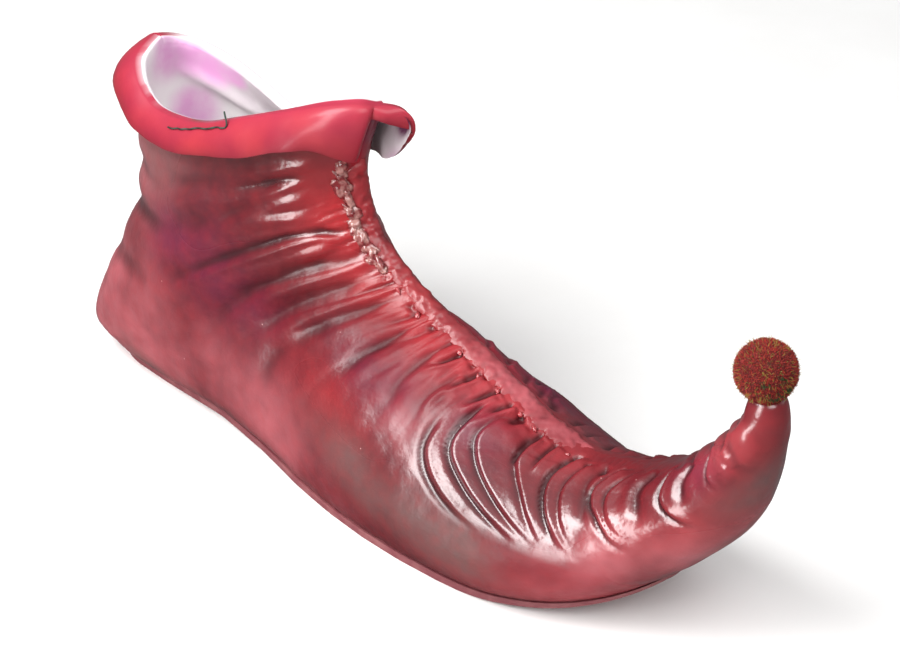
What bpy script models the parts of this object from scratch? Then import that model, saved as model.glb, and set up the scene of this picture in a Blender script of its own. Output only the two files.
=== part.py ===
"""Elf shoe in cast latex: hollow upper, turned-down cuff, raised front seam, sole, insole, pompom.

X runs to the toe, Y to the wearer's left and Z up, with the floor at zero. Tables are in millimetres
from the back of the heel and are moved to the middle of the shoe when a mesh is written.
"""
import math

import bmesh
import bpy
import numpy as np

MM = 0.001

# Driving sizes in millimetres
WALL = 2.0
GAP = 0.3
SOLE_THICK = 3.2
SOLE_PROUD = 1.2
SOLE_TOE_PROUD = 2.0
SOLE_TOE_THICK = 1.4
INSOLE_THICK = 2.0
INSOLE_INSET = 3.6
INSOLE_TOE = 22.0
CUFF_THICK = 2.0
STRIP_RIGHT = 8.0
STRIP_LEFT = 4.5
STRIP_THICK = 1.2
STRIP_GAP = 0.5
POMPOM_RADIUS = 11.8
POMPOM_TUFT = 1.2
POMPOM_X = 332.5
POMPOM_Z = 126.6
MIDDLE_X = 165.3
MIDDLE_Y = -5.1

# Cross sections from the collar rim, round the heel and along the foot to the tip of the curl.
# Each one spans a front point and a back point on the middle plane.
SECTION_COLUMNS = (
    "front_x", "front_z", "back_x", "back_z", "right", "left",
    "widest", "peak_right", "peak_left", "low_round", "sag_right", "sag_left",
)
SECTIONS = (
    (143.0, 158.0, 8.0, 140.0, 27.0, 17.5, 0.66, 2.0, 2.0, 2.7, 15.0, 21.0),
    (136.0, 142.0, 8.0, 123.0, 29.0, 23.0, 0.62, 1.8, 1.75, 2.5, 10.0, 13.0),
    (133.0, 128.0, 10.0, 106.0, 31.5, 28.0, 0.59, 1.7, 1.6, 2.3, 5.0, 6.0),
    (134.0, 117.0, 11.0, 88.0, 34.0, 31.0, 0.57, 1.7, 1.5, 2.3, 2.0, 2.0),
    (138.0, 107.0, 6.0, 66.0, 37.0, 34.0, 0.57, 1.7, 1.4, 2.4, 0.0, 0.0),
    (143.5, 100.0, -4.0, 44.0, 40.0, 37.0, 0.58, 1.6, 1.4, 2.7, 0.0, 0.0),
    (149.0, 95.5, -11.0, 26.0, 42.0, 39.0, 0.60, 1.6, 1.35, 3.0, 0.0, 0.0),
    (155.0, 91.5, -14.5, 11.0, 42.5, 40.0, 0.62, 1.6, 1.35, 3.3, 0.0, 0.0),
    (161.0, 88.0, -9.0, 3.5, 42.5, 40.0, 0.63, 1.6, 1.35, 3.4, 0.0, 0.0),
    (168.0, 84.5, 10.0, 3.5, 42.5, 40.0, 0.64, 1.6, 1.35, 3.3, 0.0, 0.0),
    (176.0, 81.0, 41.0, 3.5, 43.0, 40.0, 0.64, 1.6, 1.35, 3.0, 0.0, 0.0),
    (185.0, 78.0, 78.0, 5.0, 44.0, 40.5, 0.64, 1.6, 1.35, 2.8, 0.0, 0.0),
    (195.0, 74.5, 115.0, 4.8, 47.0, 42.0, 0.64, 1.6, 1.35, 2.6, 0.0, 0.0),
    (206.0, 70.0, 150.0, 3.5, 51.0, 43.0, 0.66, 1.6, 1.35, 2.5, 0.0, 0.0),
    (218.0, 65.0, 184.0, 3.5, 53.5, 43.5, 0.66, 1.6, 1.35, 2.5, 0.0, 0.0),
    (231.0, 60.0, 216.0, 3.5, 53.0, 41.0, 0.66, 1.6, 1.35, 2.5, 0.0, 0.0),
    (245.0, 56.5, 246.0, 4.5, 50.0, 37.5, 0.64, 1.6, 1.35, 2.5, 0.0, 0.0),
    (260.0, 55.5, 274.0, 10.0, 43.0, 32.5, 0.60, 1.7, 1.4, 2.4, 0.0, 0.0),
    (275.0, 59.5, 298.0, 22.5, 34.0, 29.0, 0.56, 1.8, 1.65, 2.3, 0.0, 0.0),
    (288.0, 66.5, 317.0, 41.5, 25.0, 23.0, 0.52, 1.9, 1.9, 2.1, 0.0, 0.0),
    (301.5, 76.0, 332.0, 61.5, 18.0, 17.0, 0.50, 2.0, 2.0, 2.0, 0.0, 0.0),
    (314.0, 90.0, 340.0, 84.0, 12.5, 12.0, 0.50, 2.0, 2.0, 2.0, 0.0, 0.0),
    (324.5, 105.0, 342.5, 105.5, 9.0, 9.0, 0.50, 2.0, 2.0, 2.0, 0.0, 0.0),
    (327.5, 111.0, 341.5, 111.5, 7.0, 7.0, 0.50, 2.0, 2.0, 2.0, 0.0, 0.0),
    (334.5, 114.8, 334.5, 114.8, 0.0, 0.0, 0.50, 2.0, 2.0, 2.0, 0.0, 0.0),
)
# Where round the rim the collar sags: below one is nearer the front
SAG_RIGHT = 1.15
SAG_LEFT = 0.8
# Rows of the table where the sole begins and ends
HEEL_ROW = 8
TOE_ROW = 18
# The turn under heel and toe is eased: how much, and over how many rows on either side
EASE = 0.6
EASE_HEEL = 1.6
EASE_TOE = 1.2
EASE_EDGE = 8
# The upper starts this far along the table, under the cap of the cuff
RIM_START = 0.13
# Rows of the table that the raised front seam runs between
STRIP_TOP = 1.7
STRIP_FOOT = 16.7

# Half-width of the sole on either side of the middle plane, before its ends are rounded
SOLE_COLUMNS = ("x", "right", "left")
SOLE_SIDES = (
    (-9.0, 27.5, 27.5),
    (20.0, 30.0, 29.5),
    (45.0, 31.0, 30.0),
    (80.0, 32.5, 31.0),
    (110.0, 37.0, 33.5),
    (135.0, 42.0, 36.5),
    (160.0, 45.5, 38.5),
    (180.0, 47.0, 39.5),
    (200.0, 47.0, 39.0),
    (220.0, 45.5, 37.5),
    (240.0, 43.0, 35.5),
    (260.0, 40.0, 33.0),
    (280.0, 36.5, 30.5),
    (298.0, 34.0, 28.0),
)
# Ends of the sole: where it stops, how far back its round starts, and how full that round is
HEEL_END = -9.0
HEEL_ROUND = 34.0
HEEL_FULL = 2.1
TOE_END = 298.0
TOE_ROUND = 70.0
TOE_FULL = 1.9

# Cuff flap round the rim: place round the rim, flare off the upper, drop, and how late it flares
CUFF_COLUMNS = ("around", "flare", "drop", "lean")
CUFF_FLAP = (
    (-1.00, 6.5, 15.0, 1.2),
    (-0.80, 8.0, 13.0, 1.0),
    (-0.50, 8.0, 14.0, 1.0),
    (-0.28, 7.0, 13.0, 1.0),
    (-0.14, 7.5, 17.0, 1.0),
    (-0.055, 8.5, 21.0, 1.0),
    (-0.030, 4.0, 8.0, 1.0),
    (0.000, 3.0, 5.5, 1.0),
    (0.030, 5.0, 9.0, 1.0),
    (0.060, 13.0, 29.0, 1.0),
    (0.14, 10.0, 31.0, 1.2),
    (0.28, 4.0, 25.0, 1.6),
    (0.50, 1.5, 17.0, 1.6),
    (0.80, 2.0, 15.0, 1.6),
    (1.00, 6.5, 15.0, 1.2),
)
# Height of one row of the table below the rim
CUFF_ROW_DROP = 16.0
# Share of the upper's wall that the cuff's cap covers at the rim
CAP_SHARE = 0.4

# Counts of facets
UPPER_ROWS = 54
UPPER_AROUND = 32
CUFF_AROUND = 64
CUFF_ROWS = 6
STRIP_ROWS = 32
STRIP_ACROSS = 4
SOLE_ROWS = 40
SOLE_ACROSS = 6
INSOLE_ROWS = 30
INSOLE_ACROSS = 4
# Powers that draw the facets together towards the front seam
FRONT_CLOSE = 1.3
CUFF_FRONT_CLOSE = 1.7
# Small steps along and round the upper that its slopes are read over
STEP_ALONG = 0.02
STEP_ROUND = 0.004
WELD = 0.00002
SHARP = math.radians(40)


def smooth_rows(table, place):
    """Read a table between its rows with a smooth cubic."""
    rows = np.asarray(table, float)
    last = len(rows) - 1
    index = np.clip(np.floor(place).astype(int), 0, last - 1)
    step = (place - index)[:, None]
    before = rows[np.clip(index - 1, 0, last)]
    here = rows[index]
    after = rows[index + 1]
    beyond = rows[np.clip(index + 2, 0, last)]
    return 0.5 * (
        2 * here
        + (after - before) * step
        + (2 * before - 5 * here + 4 * after - beyond) * step**2
        + (3 * here - before - 3 * after + beyond) * step**3
    )


def column(values, name):
    """Take one named column of the section table."""
    return values[:, SECTION_COLUMNS.index(name)]


def section_values(stations):
    """Read the section table, with the tread line held above the sole."""
    values = smooth_rows(SECTIONS, stations)
    low = SECTION_COLUMNS.index("back_z")
    floor_line = SOLE_THICK + GAP
    values[:, low] = np.maximum(values[:, low], floor_line)
    return values


def sole_half(x, side):
    """Half-width of the sole outline at x, closed to a round end at heel and toe."""
    table = np.asarray(SOLE_SIDES)
    base = np.interp(x, table[:, 0], table[:, SOLE_COLUMNS.index(side)])
    heel = np.clip((x - HEEL_END) / HEEL_ROUND, 0.0, 1.0)
    toe = np.clip((TOE_END - x) / TOE_ROUND, 0.0, 1.0)
    heel_close = (1.0 - (1.0 - heel) ** HEEL_FULL) ** (1 / HEEL_FULL)
    toe_close = (1.0 - (1.0 - toe) ** TOE_FULL) ** (1 / TOE_FULL)
    return base * heel_close * toe_close


def half_section(values, stations, side, dense=40):
    """Lay out one side of every section: share of the way front to back, width, and run length."""
    turn = np.linspace(0.0, 1.0, dense)[None, :]
    wide = np.maximum(column(values, side), 1e-4)[:, None]
    widest = column(values, "widest")[:, None]
    peak = column(values, "peak_" + side)[:, None]
    low = column(values, "low_round")[:, None]
    on_sole = (stations >= HEEL_ROW) & (stations <= TOE_ROW)
    edge = np.where(on_sole, sole_half(column(values, "back_x"), side), 0.0)[:, None]
    rise = np.hypot(
        column(values, "back_x") - column(values, "front_x"),
        column(values, "back_z") - column(values, "front_z"),
    )[:, None]
    top = turn * math.pi / 2
    share_top = widest * (1.0 - np.clip(np.cos(top), 0.0, 1.0) ** (2 / peak))
    width_top = wide * np.sin(top) ** (2 / peak)
    # The lower part is a rounded corner cut off where it meets the sole's edge
    stop = np.arccos(np.clip(edge / wide, 0.0, 0.999) ** (low / 2))
    share_low = widest + (1.0 - widest) * (np.sin(turn * stop) / np.sin(stop)) ** (2 / low)
    width_low = wide * np.clip(np.cos(turn * stop), 0.0, 1.0) ** (2 / low)
    share = np.hstack([share_top, share_low[:, 1:]])
    width = np.hstack([width_top, width_low[:, 1:]])
    pieces = np.hypot(np.diff(share, axis=1) * rise, np.diff(width, axis=1))
    run = np.hstack([np.zeros((len(stations), 1)), np.cumsum(pieces, axis=1)])
    return share, width, run


def plain_surface(stations, around):
    """Section points at each station and place round it, from -1 on the right to 1 on the left."""
    stations = np.asarray(stations, float)
    around = np.asarray(around, float)
    values = section_values(stations)
    points = np.zeros((len(stations), around.shape[-1], 3))
    for side, sign, skew in (("right", -1.0, SAG_RIGHT), ("left", 1.0, SAG_LEFT)):
        share, width, run = half_section(values, stations, side)
        sag = column(values, "sag_" + side)
        for row in range(len(stations)):
            places = around if around.ndim == 1 else around[row]
            chosen = np.where(places < 0 if sign < 0 else places >= 0)[0]
            reach = np.abs(places[chosen])
            length = reach * run[row, -1]
            part = np.interp(length, run[row], share[row])
            front_x, front_z, back_x, back_z = values[row, :4]
            points[row, chosen, 0] = front_x + (back_x - front_x) * part
            points[row, chosen, 1] = sign * np.interp(length, run[row], width[row])
            drop = sag[row] * np.sin(math.pi * reach**skew)
            points[row, chosen, 2] = front_z + (back_z - front_z) * part - drop
    return points


def upper_surface(stations, around):
    """Outside of the upper, eased where the sections turn under the heel and the toe."""
    stations = np.asarray(stations, float)
    around = np.asarray(around, float)
    points = plain_surface(stations, around)
    heel = np.exp(-(((stations - HEEL_ROW) / EASE_HEEL) ** 2))
    toe = np.exp(-(((stations - TOE_ROW + 0.5) / EASE_TOE) ** 2))
    spread = EASE * np.maximum(heel, toe)
    reach = np.abs(np.broadcast_to(around, points.shape[:2]))
    share = np.clip(1.0 - reach**EASE_EDGE, 0.0, 1.0)
    eased = np.zeros_like(points)
    for step, weight in ((-2, 1), (-1, 4), (0, 6), (1, 4), (2, 1)):
        moved = np.clip(stations + step * spread, 0.0, len(SECTIONS) - 1)
        eased += plain_surface(moved, around) * weight / 16
    points += (eased - points) * share[:, :, None]
    points[:, :, 2] = np.maximum(points[:, :, 2], SOLE_THICK + GAP)
    return points


def outward(stations, around):
    """Unit normals of the upper, facing out."""
    along = upper_surface(stations + STEP_ALONG, around) - upper_surface(stations - STEP_ALONG, around)
    across = upper_surface(stations, around + STEP_ROUND) - upper_surface(stations, around - STEP_ROUND)
    normal = np.cross(along, across)
    return normal / np.maximum(np.linalg.norm(normal, axis=2, keepdims=True), 1e-9)


def upper_stations(count):
    """Spread the stations, closer together where the heel turns on to the sole."""
    plain = np.linspace(RIM_START, len(SECTIONS) - 1, count - 5)
    heel = HEEL_ROW + np.array([0.0, 0.12, 0.28, 0.5])
    near = np.abs(plain[:, None] - heel[None, :]).min(axis=1)
    kept = plain[near > 0.12]
    toe = np.array([TOE_ROW - 0.06, TOE_ROW])
    return np.unique(np.concatenate([kept[np.abs(kept - TOE_ROW) > 0.2], heel, toe]))


def tread_line():
    """Line of the upper's lower edge along the sole: x and height."""
    stations = np.linspace(HEEL_ROW, TOE_ROW, 400)
    values = section_values(stations)
    return column(values, "back_x"), column(values, "back_z")


def latex(name, color, roughness):
    """Make a plain material."""
    material = bpy.data.materials.new(name)
    material.use_nodes = True
    shader = material.node_tree.nodes["Principled BSDF"]
    shader.inputs["Base Color"].default_value = (*color, 1.0)
    shader.inputs["Roughness"].default_value = roughness
    shader.inputs["Metallic"].default_value = 0.0
    material.diffuse_color = (*color, 1.0)
    return material


def place(bm, points):
    """Move a fresh grid's vertices on to a table of points and weld what meets."""
    rows, columns = points.shape[:2]
    for vert in bm.verts:
        across = round((vert.co.x + 1) / 2 * (columns - 1))
        along = round((vert.co.y + 1) / 2 * (rows - 1))
        x, y, z = points[along, across]
        vert.co = ((x - MIDDLE_X) * MM, (y - MIDDLE_Y) * MM, z * MM)
    bmesh.ops.remove_doubles(bm, verts=bm.verts, dist=WELD)


def grid_mesh(points):
    """Lay a grid over a table of points, facing out."""
    rows, columns = points.shape[:2]
    bm = bmesh.new()
    bmesh.ops.create_grid(bm, x_segments=columns - 1, y_segments=rows - 1, size=1.0)
    place(bm, points)
    bmesh.ops.reverse_faces(bm, faces=bm.faces)
    return bm


def sheet(name, points, material, thick):
    """Build a sheet over a table of points and give it a wall on its inner side."""
    bm = grid_mesh(points)
    shoe_piece = add_object(name, bm, material)
    wall = shoe_piece.modifiers.new("wall", "SOLIDIFY")
    wall.thickness = thick * MM
    wall.offset = -1.0
    wall.use_rim = True
    return shoe_piece


def add_object(name, bm, material):
    """Write a mesh and link it as a named object."""
    mesh = bpy.data.meshes.new(name)
    bm.to_mesh(mesh)
    bm.free()
    mesh.shade_smooth()
    mesh.set_sharp_from_angle(angle=SHARP)
    mesh.materials.append(material)
    shoe_piece = bpy.data.objects.new(name, mesh)
    bpy.context.scene.collection.objects.link(shoe_piece)
    return shoe_piece


def build_upper(material):
    """Hollow upper, open at the collar and along the sole."""
    stations = upper_stations(UPPER_ROWS)
    spread = np.linspace(-1.0, 1.0, UPPER_AROUND + 1)
    around = np.sign(spread) * np.abs(spread) ** FRONT_CLOSE
    return sheet("upper", upper_surface(stations, around), material, WALL)


def build_cuff(material):
    """Turned-down cuff: a cap over the rim that drops as a flap, notched at the front."""
    spread = np.linspace(-1.0, 1.0, CUFF_AROUND + 1)
    around = np.sign(spread) * np.abs(spread) ** CUFF_FRONT_CLOSE
    rim = upper_surface(np.zeros(1), around)[0]
    before = upper_surface(np.zeros(1), np.clip(around - STEP_ROUND, -1.0, 1.0))[0]
    after = upper_surface(np.zeros(1), np.clip(around + STEP_ROUND, -1.0, 1.0))[0]
    run = after - before
    out = np.stack([run[:, 1], -run[:, 0], np.zeros(len(run))], axis=1)
    out[0] = out[-1] = (-1.0, 0.0, 0.0)
    out /= np.linalg.norm(out, axis=1, keepdims=True)
    flap = np.asarray(CUFF_FLAP)
    flare = np.interp(around, flap[:, 0], flap[:, 1])
    drop = np.interp(around, flap[:, 0], flap[:, 2])
    lean = np.interp(around, flap[:, 0], flap[:, 3])
    lift = CUFF_THICK + GAP
    run /= np.linalg.norm(run, axis=1, keepdims=True)
    up = np.array([0.0, 0.0, 1.0]) - run[:, 2:] * run
    up *= lift / np.linalg.norm(up, axis=1, keepdims=True)
    inside = rim - outward(np.zeros(1), around)[0] * WALL * CAP_SHARE
    rows = [inside + up, rim + up]
    for turn in np.linspace(0.0, math.pi / 2, CUFF_ROWS)[1:]:
        below = drop * (1.0 - math.cos(turn)) / CUFF_ROW_DROP
        base = np.array([upper_surface([row], [where])[0, 0] for row, where in zip(below, around)])
        over = lift + flare * math.sin(turn) ** lean
        rows.append(base + out * over[:, None] + up * math.cos(turn) ** 2)
    points = np.array(rows)
    points[:, 0] = points[:, -1] = (points[:, 0] + points[:, -1]) / 2
    return sheet("cuff", points, material, CUFF_THICK)


def build_strip(material):
    """Raised band down the front seam, laid on the upper's own surface."""
    stations = np.linspace(STRIP_TOP, STRIP_FOOT, STRIP_ROWS + 1)
    values = section_values(stations)
    half = np.linspace(-1.0, 1.0, STRIP_ACROSS + 1)
    length = np.stack([half_section(values, stations, side)[2][:, -1] for side in ("right", "left")])
    right = half * STRIP_RIGHT / length[0][:, None]
    left = half * STRIP_LEFT / length[1][:, None]
    places = np.where(half[None, :] < 0, right, left)
    base = upper_surface(stations, places)
    points = base + outward(stations, places) * (STRIP_GAP + STRIP_THICK)
    return sheet("seam_strip", points, material, STRIP_THICK)


def plate(name, material, facets, insets, top_offset, thick):
    """Closed plate with the sole's outline that follows the upper's lower edge."""
    line_x, line_z = tread_line()
    rows, across = facets
    inset, toe_inset = insets
    turn = np.linspace(0.0, math.pi, rows + 1)
    start = HEEL_END + inset
    end = TOE_END - toe_inset
    x = start + (end - start) * (1.0 - np.cos(turn)) / 2
    outline_x = HEEL_END + (x - start) / (end - start) * (TOE_END - HEEL_END)
    right = np.maximum(sole_half(outline_x, "right") - inset, 0.0)
    left = np.maximum(sole_half(outline_x, "left") - inset, 0.0)
    right[0] = right[-1] = left[0] = left[-1] = 0.0
    share = np.linspace(0.0, 1.0, across + 1)
    y = -right[:, None] + (right + left)[:, None] * share[None, :]
    top = np.interp(x, line_x, line_z) + top_offset
    depth = np.interp(x, (TOE_END - TOE_ROUND, TOE_END), thick)
    loop_y = np.hstack([y, y[:, ::-1], y[:, :1]])
    loop_z = np.hstack([
        np.repeat(top[:, None], across + 1, 1),
        np.repeat((top - depth)[:, None], across + 1, 1),
        top[:, None],
    ])
    points = np.stack([np.repeat(x[:, None], loop_y.shape[1], 1), loop_y, loop_z], axis=2)
    bm = grid_mesh(points)
    bmesh.ops.holes_fill(bm, edges=bm.edges)
    return add_object(name, bm, material)


def build_sole(material):
    """Sole under the upper's lower edge, a little proud of it all round and thinner at the toe."""
    inset = (-SOLE_PROUD, -SOLE_TOE_PROUD)
    return plate("sole", material, (SOLE_ROWS, SOLE_ACROSS), inset, -GAP, (SOLE_THICK, SOLE_TOE_THICK))


def build_insole(material):
    """Footbed inside the upper, lying just over the sole."""
    inset = (INSOLE_INSET, INSOLE_TOE)
    return plate("insole", material, (INSOLE_ROWS, INSOLE_ACROSS), inset, INSOLE_THICK, (INSOLE_THICK,) * 2)


def build_pompom(material):
    """Ball of short tufts with a flat seat on the tip of the toe."""
    bm = bmesh.new()
    bmesh.ops.create_icosphere(bm, subdivisions=3, radius=POMPOM_RADIUS * MM)
    bmesh.ops.poke(bm, faces=bm.faces, offset=POMPOM_TUFT * MM)
    tip_z = SECTIONS[-1][SECTION_COLUMNS.index("front_z")]
    seat = (tip_z + GAP - POMPOM_Z) * MM
    for vert in bm.verts:
        vert.co.z = max(vert.co.z, seat)
    bmesh.ops.dissolve_limit(bm, angle_limit=0.002, verts=bm.verts, edges=bm.edges)
    bmesh.ops.triangulate(bm, faces=bm.faces)
    bmesh.ops.translate(bm, verts=bm.verts, vec=((POMPOM_X - MIDDLE_X) * MM, -MIDDLE_Y * MM, POMPOM_Z * MM))
    return add_object("pompom", bm, material)


def main():
    """Clear the scene and build every piece of the shoe."""
    for old in list(bpy.data.objects):
        bpy.data.objects.remove(old, do_unlink=True)
    red = latex("red_latex", (0.42, 0.030, 0.055), 0.28)
    cuff_red = latex("cuff_latex", (0.60, 0.035, 0.075), 0.28)
    tread = latex("sole_latex", (0.16, 0.10, 0.09), 0.60)
    raw = latex("raw_latex", (0.78, 0.72, 0.76), 0.55)
    pile = latex("pompom_pile", (0.30, 0.020, 0.015), 0.90)
    build_upper(red)
    build_cuff(cuff_red)
    build_strip(red)
    build_sole(tread)
    build_insole(raw)
    build_pompom(pile)


main()
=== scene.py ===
"""Looks of the elf shoe: wrinkled painted latex, a turned-down cuff, a gathered front seam and a pompom.

Tables are in millimetres from the back of the heel and are moved to the frame's origin when a mesh is
written. A spot on the upper is millimetres along the front seam from the collar, and millimetres down
the side from that seam.
"""

import logging
import math
from dataclasses import dataclass, replace
from enum import Enum
from functools import cached_property

import bmesh
import bpy
import numpy as np
from bpy.types import Material, Mesh, Node, NodeSocket, NodeTree, Object
from mathutils import Matrix, Vector, noise
from mathutils.bvhtree import BVHTree


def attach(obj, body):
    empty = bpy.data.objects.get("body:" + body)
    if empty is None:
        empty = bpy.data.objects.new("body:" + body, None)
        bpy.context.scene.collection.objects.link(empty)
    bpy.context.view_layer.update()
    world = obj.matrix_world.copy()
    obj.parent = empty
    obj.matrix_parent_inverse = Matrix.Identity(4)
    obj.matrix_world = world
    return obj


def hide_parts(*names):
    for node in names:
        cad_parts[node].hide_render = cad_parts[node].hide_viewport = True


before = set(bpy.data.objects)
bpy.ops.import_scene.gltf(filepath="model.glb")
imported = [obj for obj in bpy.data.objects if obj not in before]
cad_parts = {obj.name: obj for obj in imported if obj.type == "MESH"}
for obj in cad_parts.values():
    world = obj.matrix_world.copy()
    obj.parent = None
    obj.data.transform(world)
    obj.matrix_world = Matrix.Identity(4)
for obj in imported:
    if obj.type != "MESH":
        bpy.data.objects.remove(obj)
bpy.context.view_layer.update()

log = logging.getLogger("elf_shoe")

Array = np.ndarray
Names = tuple[tuple[str, str], ...]
Pair = tuple[float, float]
Triple = tuple[float, float, float]
Span = tuple[float, float, float, float]
Bumps = tuple[tuple[str, float, float, tuple[str, ...]], ...]
Clouds = tuple[tuple[str, float, float], ...]
Ranges = tuple[tuple[str, str, Span], ...]
Values = tuple[tuple[str, float], ...]

MM = 0.001
# Middle of the shoe's box in the tables' millimetres, which is the frame's origin
MIDDLE = np.array([165.3, -5.1, 0.0])
ROOT = "root"
# Millimetres within which the two sides of a round piece are one seam, and points are one point
BACK_GAP = 0.6
SAME_SPOT = 0.02
# Least divisor, which keeps a length of nothing from being divided by
TINY = 1e-9

# Cross sections from the collar rim, round the heel and along the foot to the tip of the curl
SECTION_COLUMNS = (
    "front_x", "front_z", "back_x", "back_z", "right", "left",
    "widest", "peak_right", "peak_left", "low_round", "sag_right", "sag_left",
)
SECTIONS = (
    (143.0, 158.0, 8.0, 140.0, 27.0, 17.5, 0.66, 2.0, 2.0, 2.7, 15.0, 21.0),
    (136.0, 142.0, 8.0, 123.0, 29.0, 23.0, 0.62, 1.8, 1.75, 2.5, 10.0, 13.0),
    (133.0, 128.0, 10.0, 106.0, 31.5, 28.0, 0.59, 1.7, 1.6, 2.3, 5.0, 6.0),
    (134.0, 117.0, 11.0, 88.0, 34.0, 31.0, 0.57, 1.7, 1.5, 2.3, 2.0, 2.0),
    (138.0, 107.0, 6.0, 66.0, 37.0, 34.0, 0.57, 1.7, 1.4, 2.4, 0.0, 0.0),
    (143.5, 100.0, -4.0, 44.0, 40.0, 37.0, 0.58, 1.6, 1.4, 2.7, 0.0, 0.0),
    (149.0, 95.5, -11.0, 26.0, 42.0, 39.0, 0.60, 1.6, 1.35, 3.0, 0.0, 0.0),
    (155.0, 91.5, -14.5, 11.0, 42.5, 40.0, 0.62, 1.6, 1.35, 3.3, 0.0, 0.0),
    (161.0, 88.0, -9.0, 3.5, 42.5, 40.0, 0.63, 1.6, 1.35, 3.4, 0.0, 0.0),
    (168.0, 84.5, 10.0, 3.5, 42.5, 40.0, 0.64, 1.6, 1.35, 3.3, 0.0, 0.0),
    (176.0, 81.0, 41.0, 3.5, 43.0, 40.0, 0.64, 1.6, 1.35, 3.0, 0.0, 0.0),
    (185.0, 78.0, 78.0, 5.0, 44.0, 40.5, 0.64, 1.6, 1.35, 2.8, 0.0, 0.0),
    (195.0, 74.5, 115.0, 4.8, 47.0, 42.0, 0.64, 1.6, 1.35, 2.6, 0.0, 0.0),
    (206.0, 70.0, 150.0, 3.5, 51.0, 43.0, 0.66, 1.6, 1.35, 2.5, 0.0, 0.0),
    (218.0, 65.0, 184.0, 3.5, 53.5, 43.5, 0.66, 1.6, 1.35, 2.5, 0.0, 0.0),
    (231.0, 60.0, 216.0, 3.5, 53.0, 41.0, 0.66, 1.6, 1.35, 2.5, 0.0, 0.0),
    (245.0, 56.5, 246.0, 4.5, 50.0, 37.5, 0.64, 1.6, 1.35, 2.5, 0.0, 0.0),
    (260.0, 55.5, 274.0, 10.0, 43.0, 32.5, 0.60, 1.7, 1.4, 2.4, 0.0, 0.0),
    (275.0, 59.5, 298.0, 22.5, 34.0, 29.0, 0.56, 1.8, 1.65, 2.3, 0.0, 0.0),
    (288.0, 66.5, 317.0, 41.5, 25.0, 23.0, 0.52, 1.9, 1.9, 2.1, 0.0, 0.0),
    (301.5, 76.0, 332.0, 61.5, 18.0, 17.0, 0.50, 2.0, 2.0, 2.0, 0.0, 0.0),
    (314.0, 90.0, 340.0, 84.0, 12.5, 12.0, 0.50, 2.0, 2.0, 2.0, 0.0, 0.0),
    (324.5, 105.0, 342.5, 105.5, 9.0, 9.0, 0.50, 2.0, 2.0, 2.0, 0.0, 0.0),
    (327.5, 111.0, 341.5, 111.5, 7.0, 7.0, 0.50, 2.0, 2.0, 2.0, 0.0, 0.0),
    (334.5, 114.8, 334.5, 114.8, 0.0, 0.0, 0.50, 2.0, 2.0, 2.0, 0.0, 0.0),
)
# Half-width of the sole on either side of the middle plane
SOLE_COLUMNS = ("x", "right", "left")
SOLE_SIDES = (
    (-9.0, 27.5, 27.5),
    (20.0, 30.0, 29.5),
    (45.0, 31.0, 30.0),
    (80.0, 32.5, 31.0),
    (110.0, 37.0, 33.5),
    (135.0, 42.0, 36.5),
    (160.0, 45.5, 38.5),
    (180.0, 47.0, 39.5),
    (200.0, 47.0, 39.0),
    (220.0, 45.5, 37.5),
    (240.0, 43.0, 35.5),
    (260.0, 40.0, 33.0),
    (280.0, 36.5, 30.5),
    (298.0, 34.0, 28.0),
)
# How the collar departs from the plain last: place round the rim, millimetres inward and up
COLLAR_SHIFT = (
    (-1.00, 2.5, -0.5),
    (-0.95, 5.0, 1.5),
    (-0.90, 5.0, 1.9),
    (-0.85, 4.5, 1.5),
    (-0.80, 3.0, 0.0),
    (-0.70, 0.5, -3.0),
    (-0.60, 0.0, -2.7),
    (-0.50, 0.0, -1.3),
    (-0.40, 0.0, 2.0),
    (-0.30, 0.0, 4.0),
    (-0.20, 0.0, 5.0),
    (-0.14, 0.0, 5.3),
    (-0.10, 0.0, 4.7),
    (-0.05, 0.0, 3.0),
    (0.00, 0.0, -1.2),
    (0.05, 0.0, 0.0),
    (0.30, 0.0, -1.5),
    (0.50, 0.0, -4.0),
    (0.60, 0.0, -1.0),
    (0.70, 0.0, 1.4),
    (0.80, 0.0, 2.0),
    (0.90, 1.0, 1.5),
    (1.00, 2.5, -0.5),
)
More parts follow.
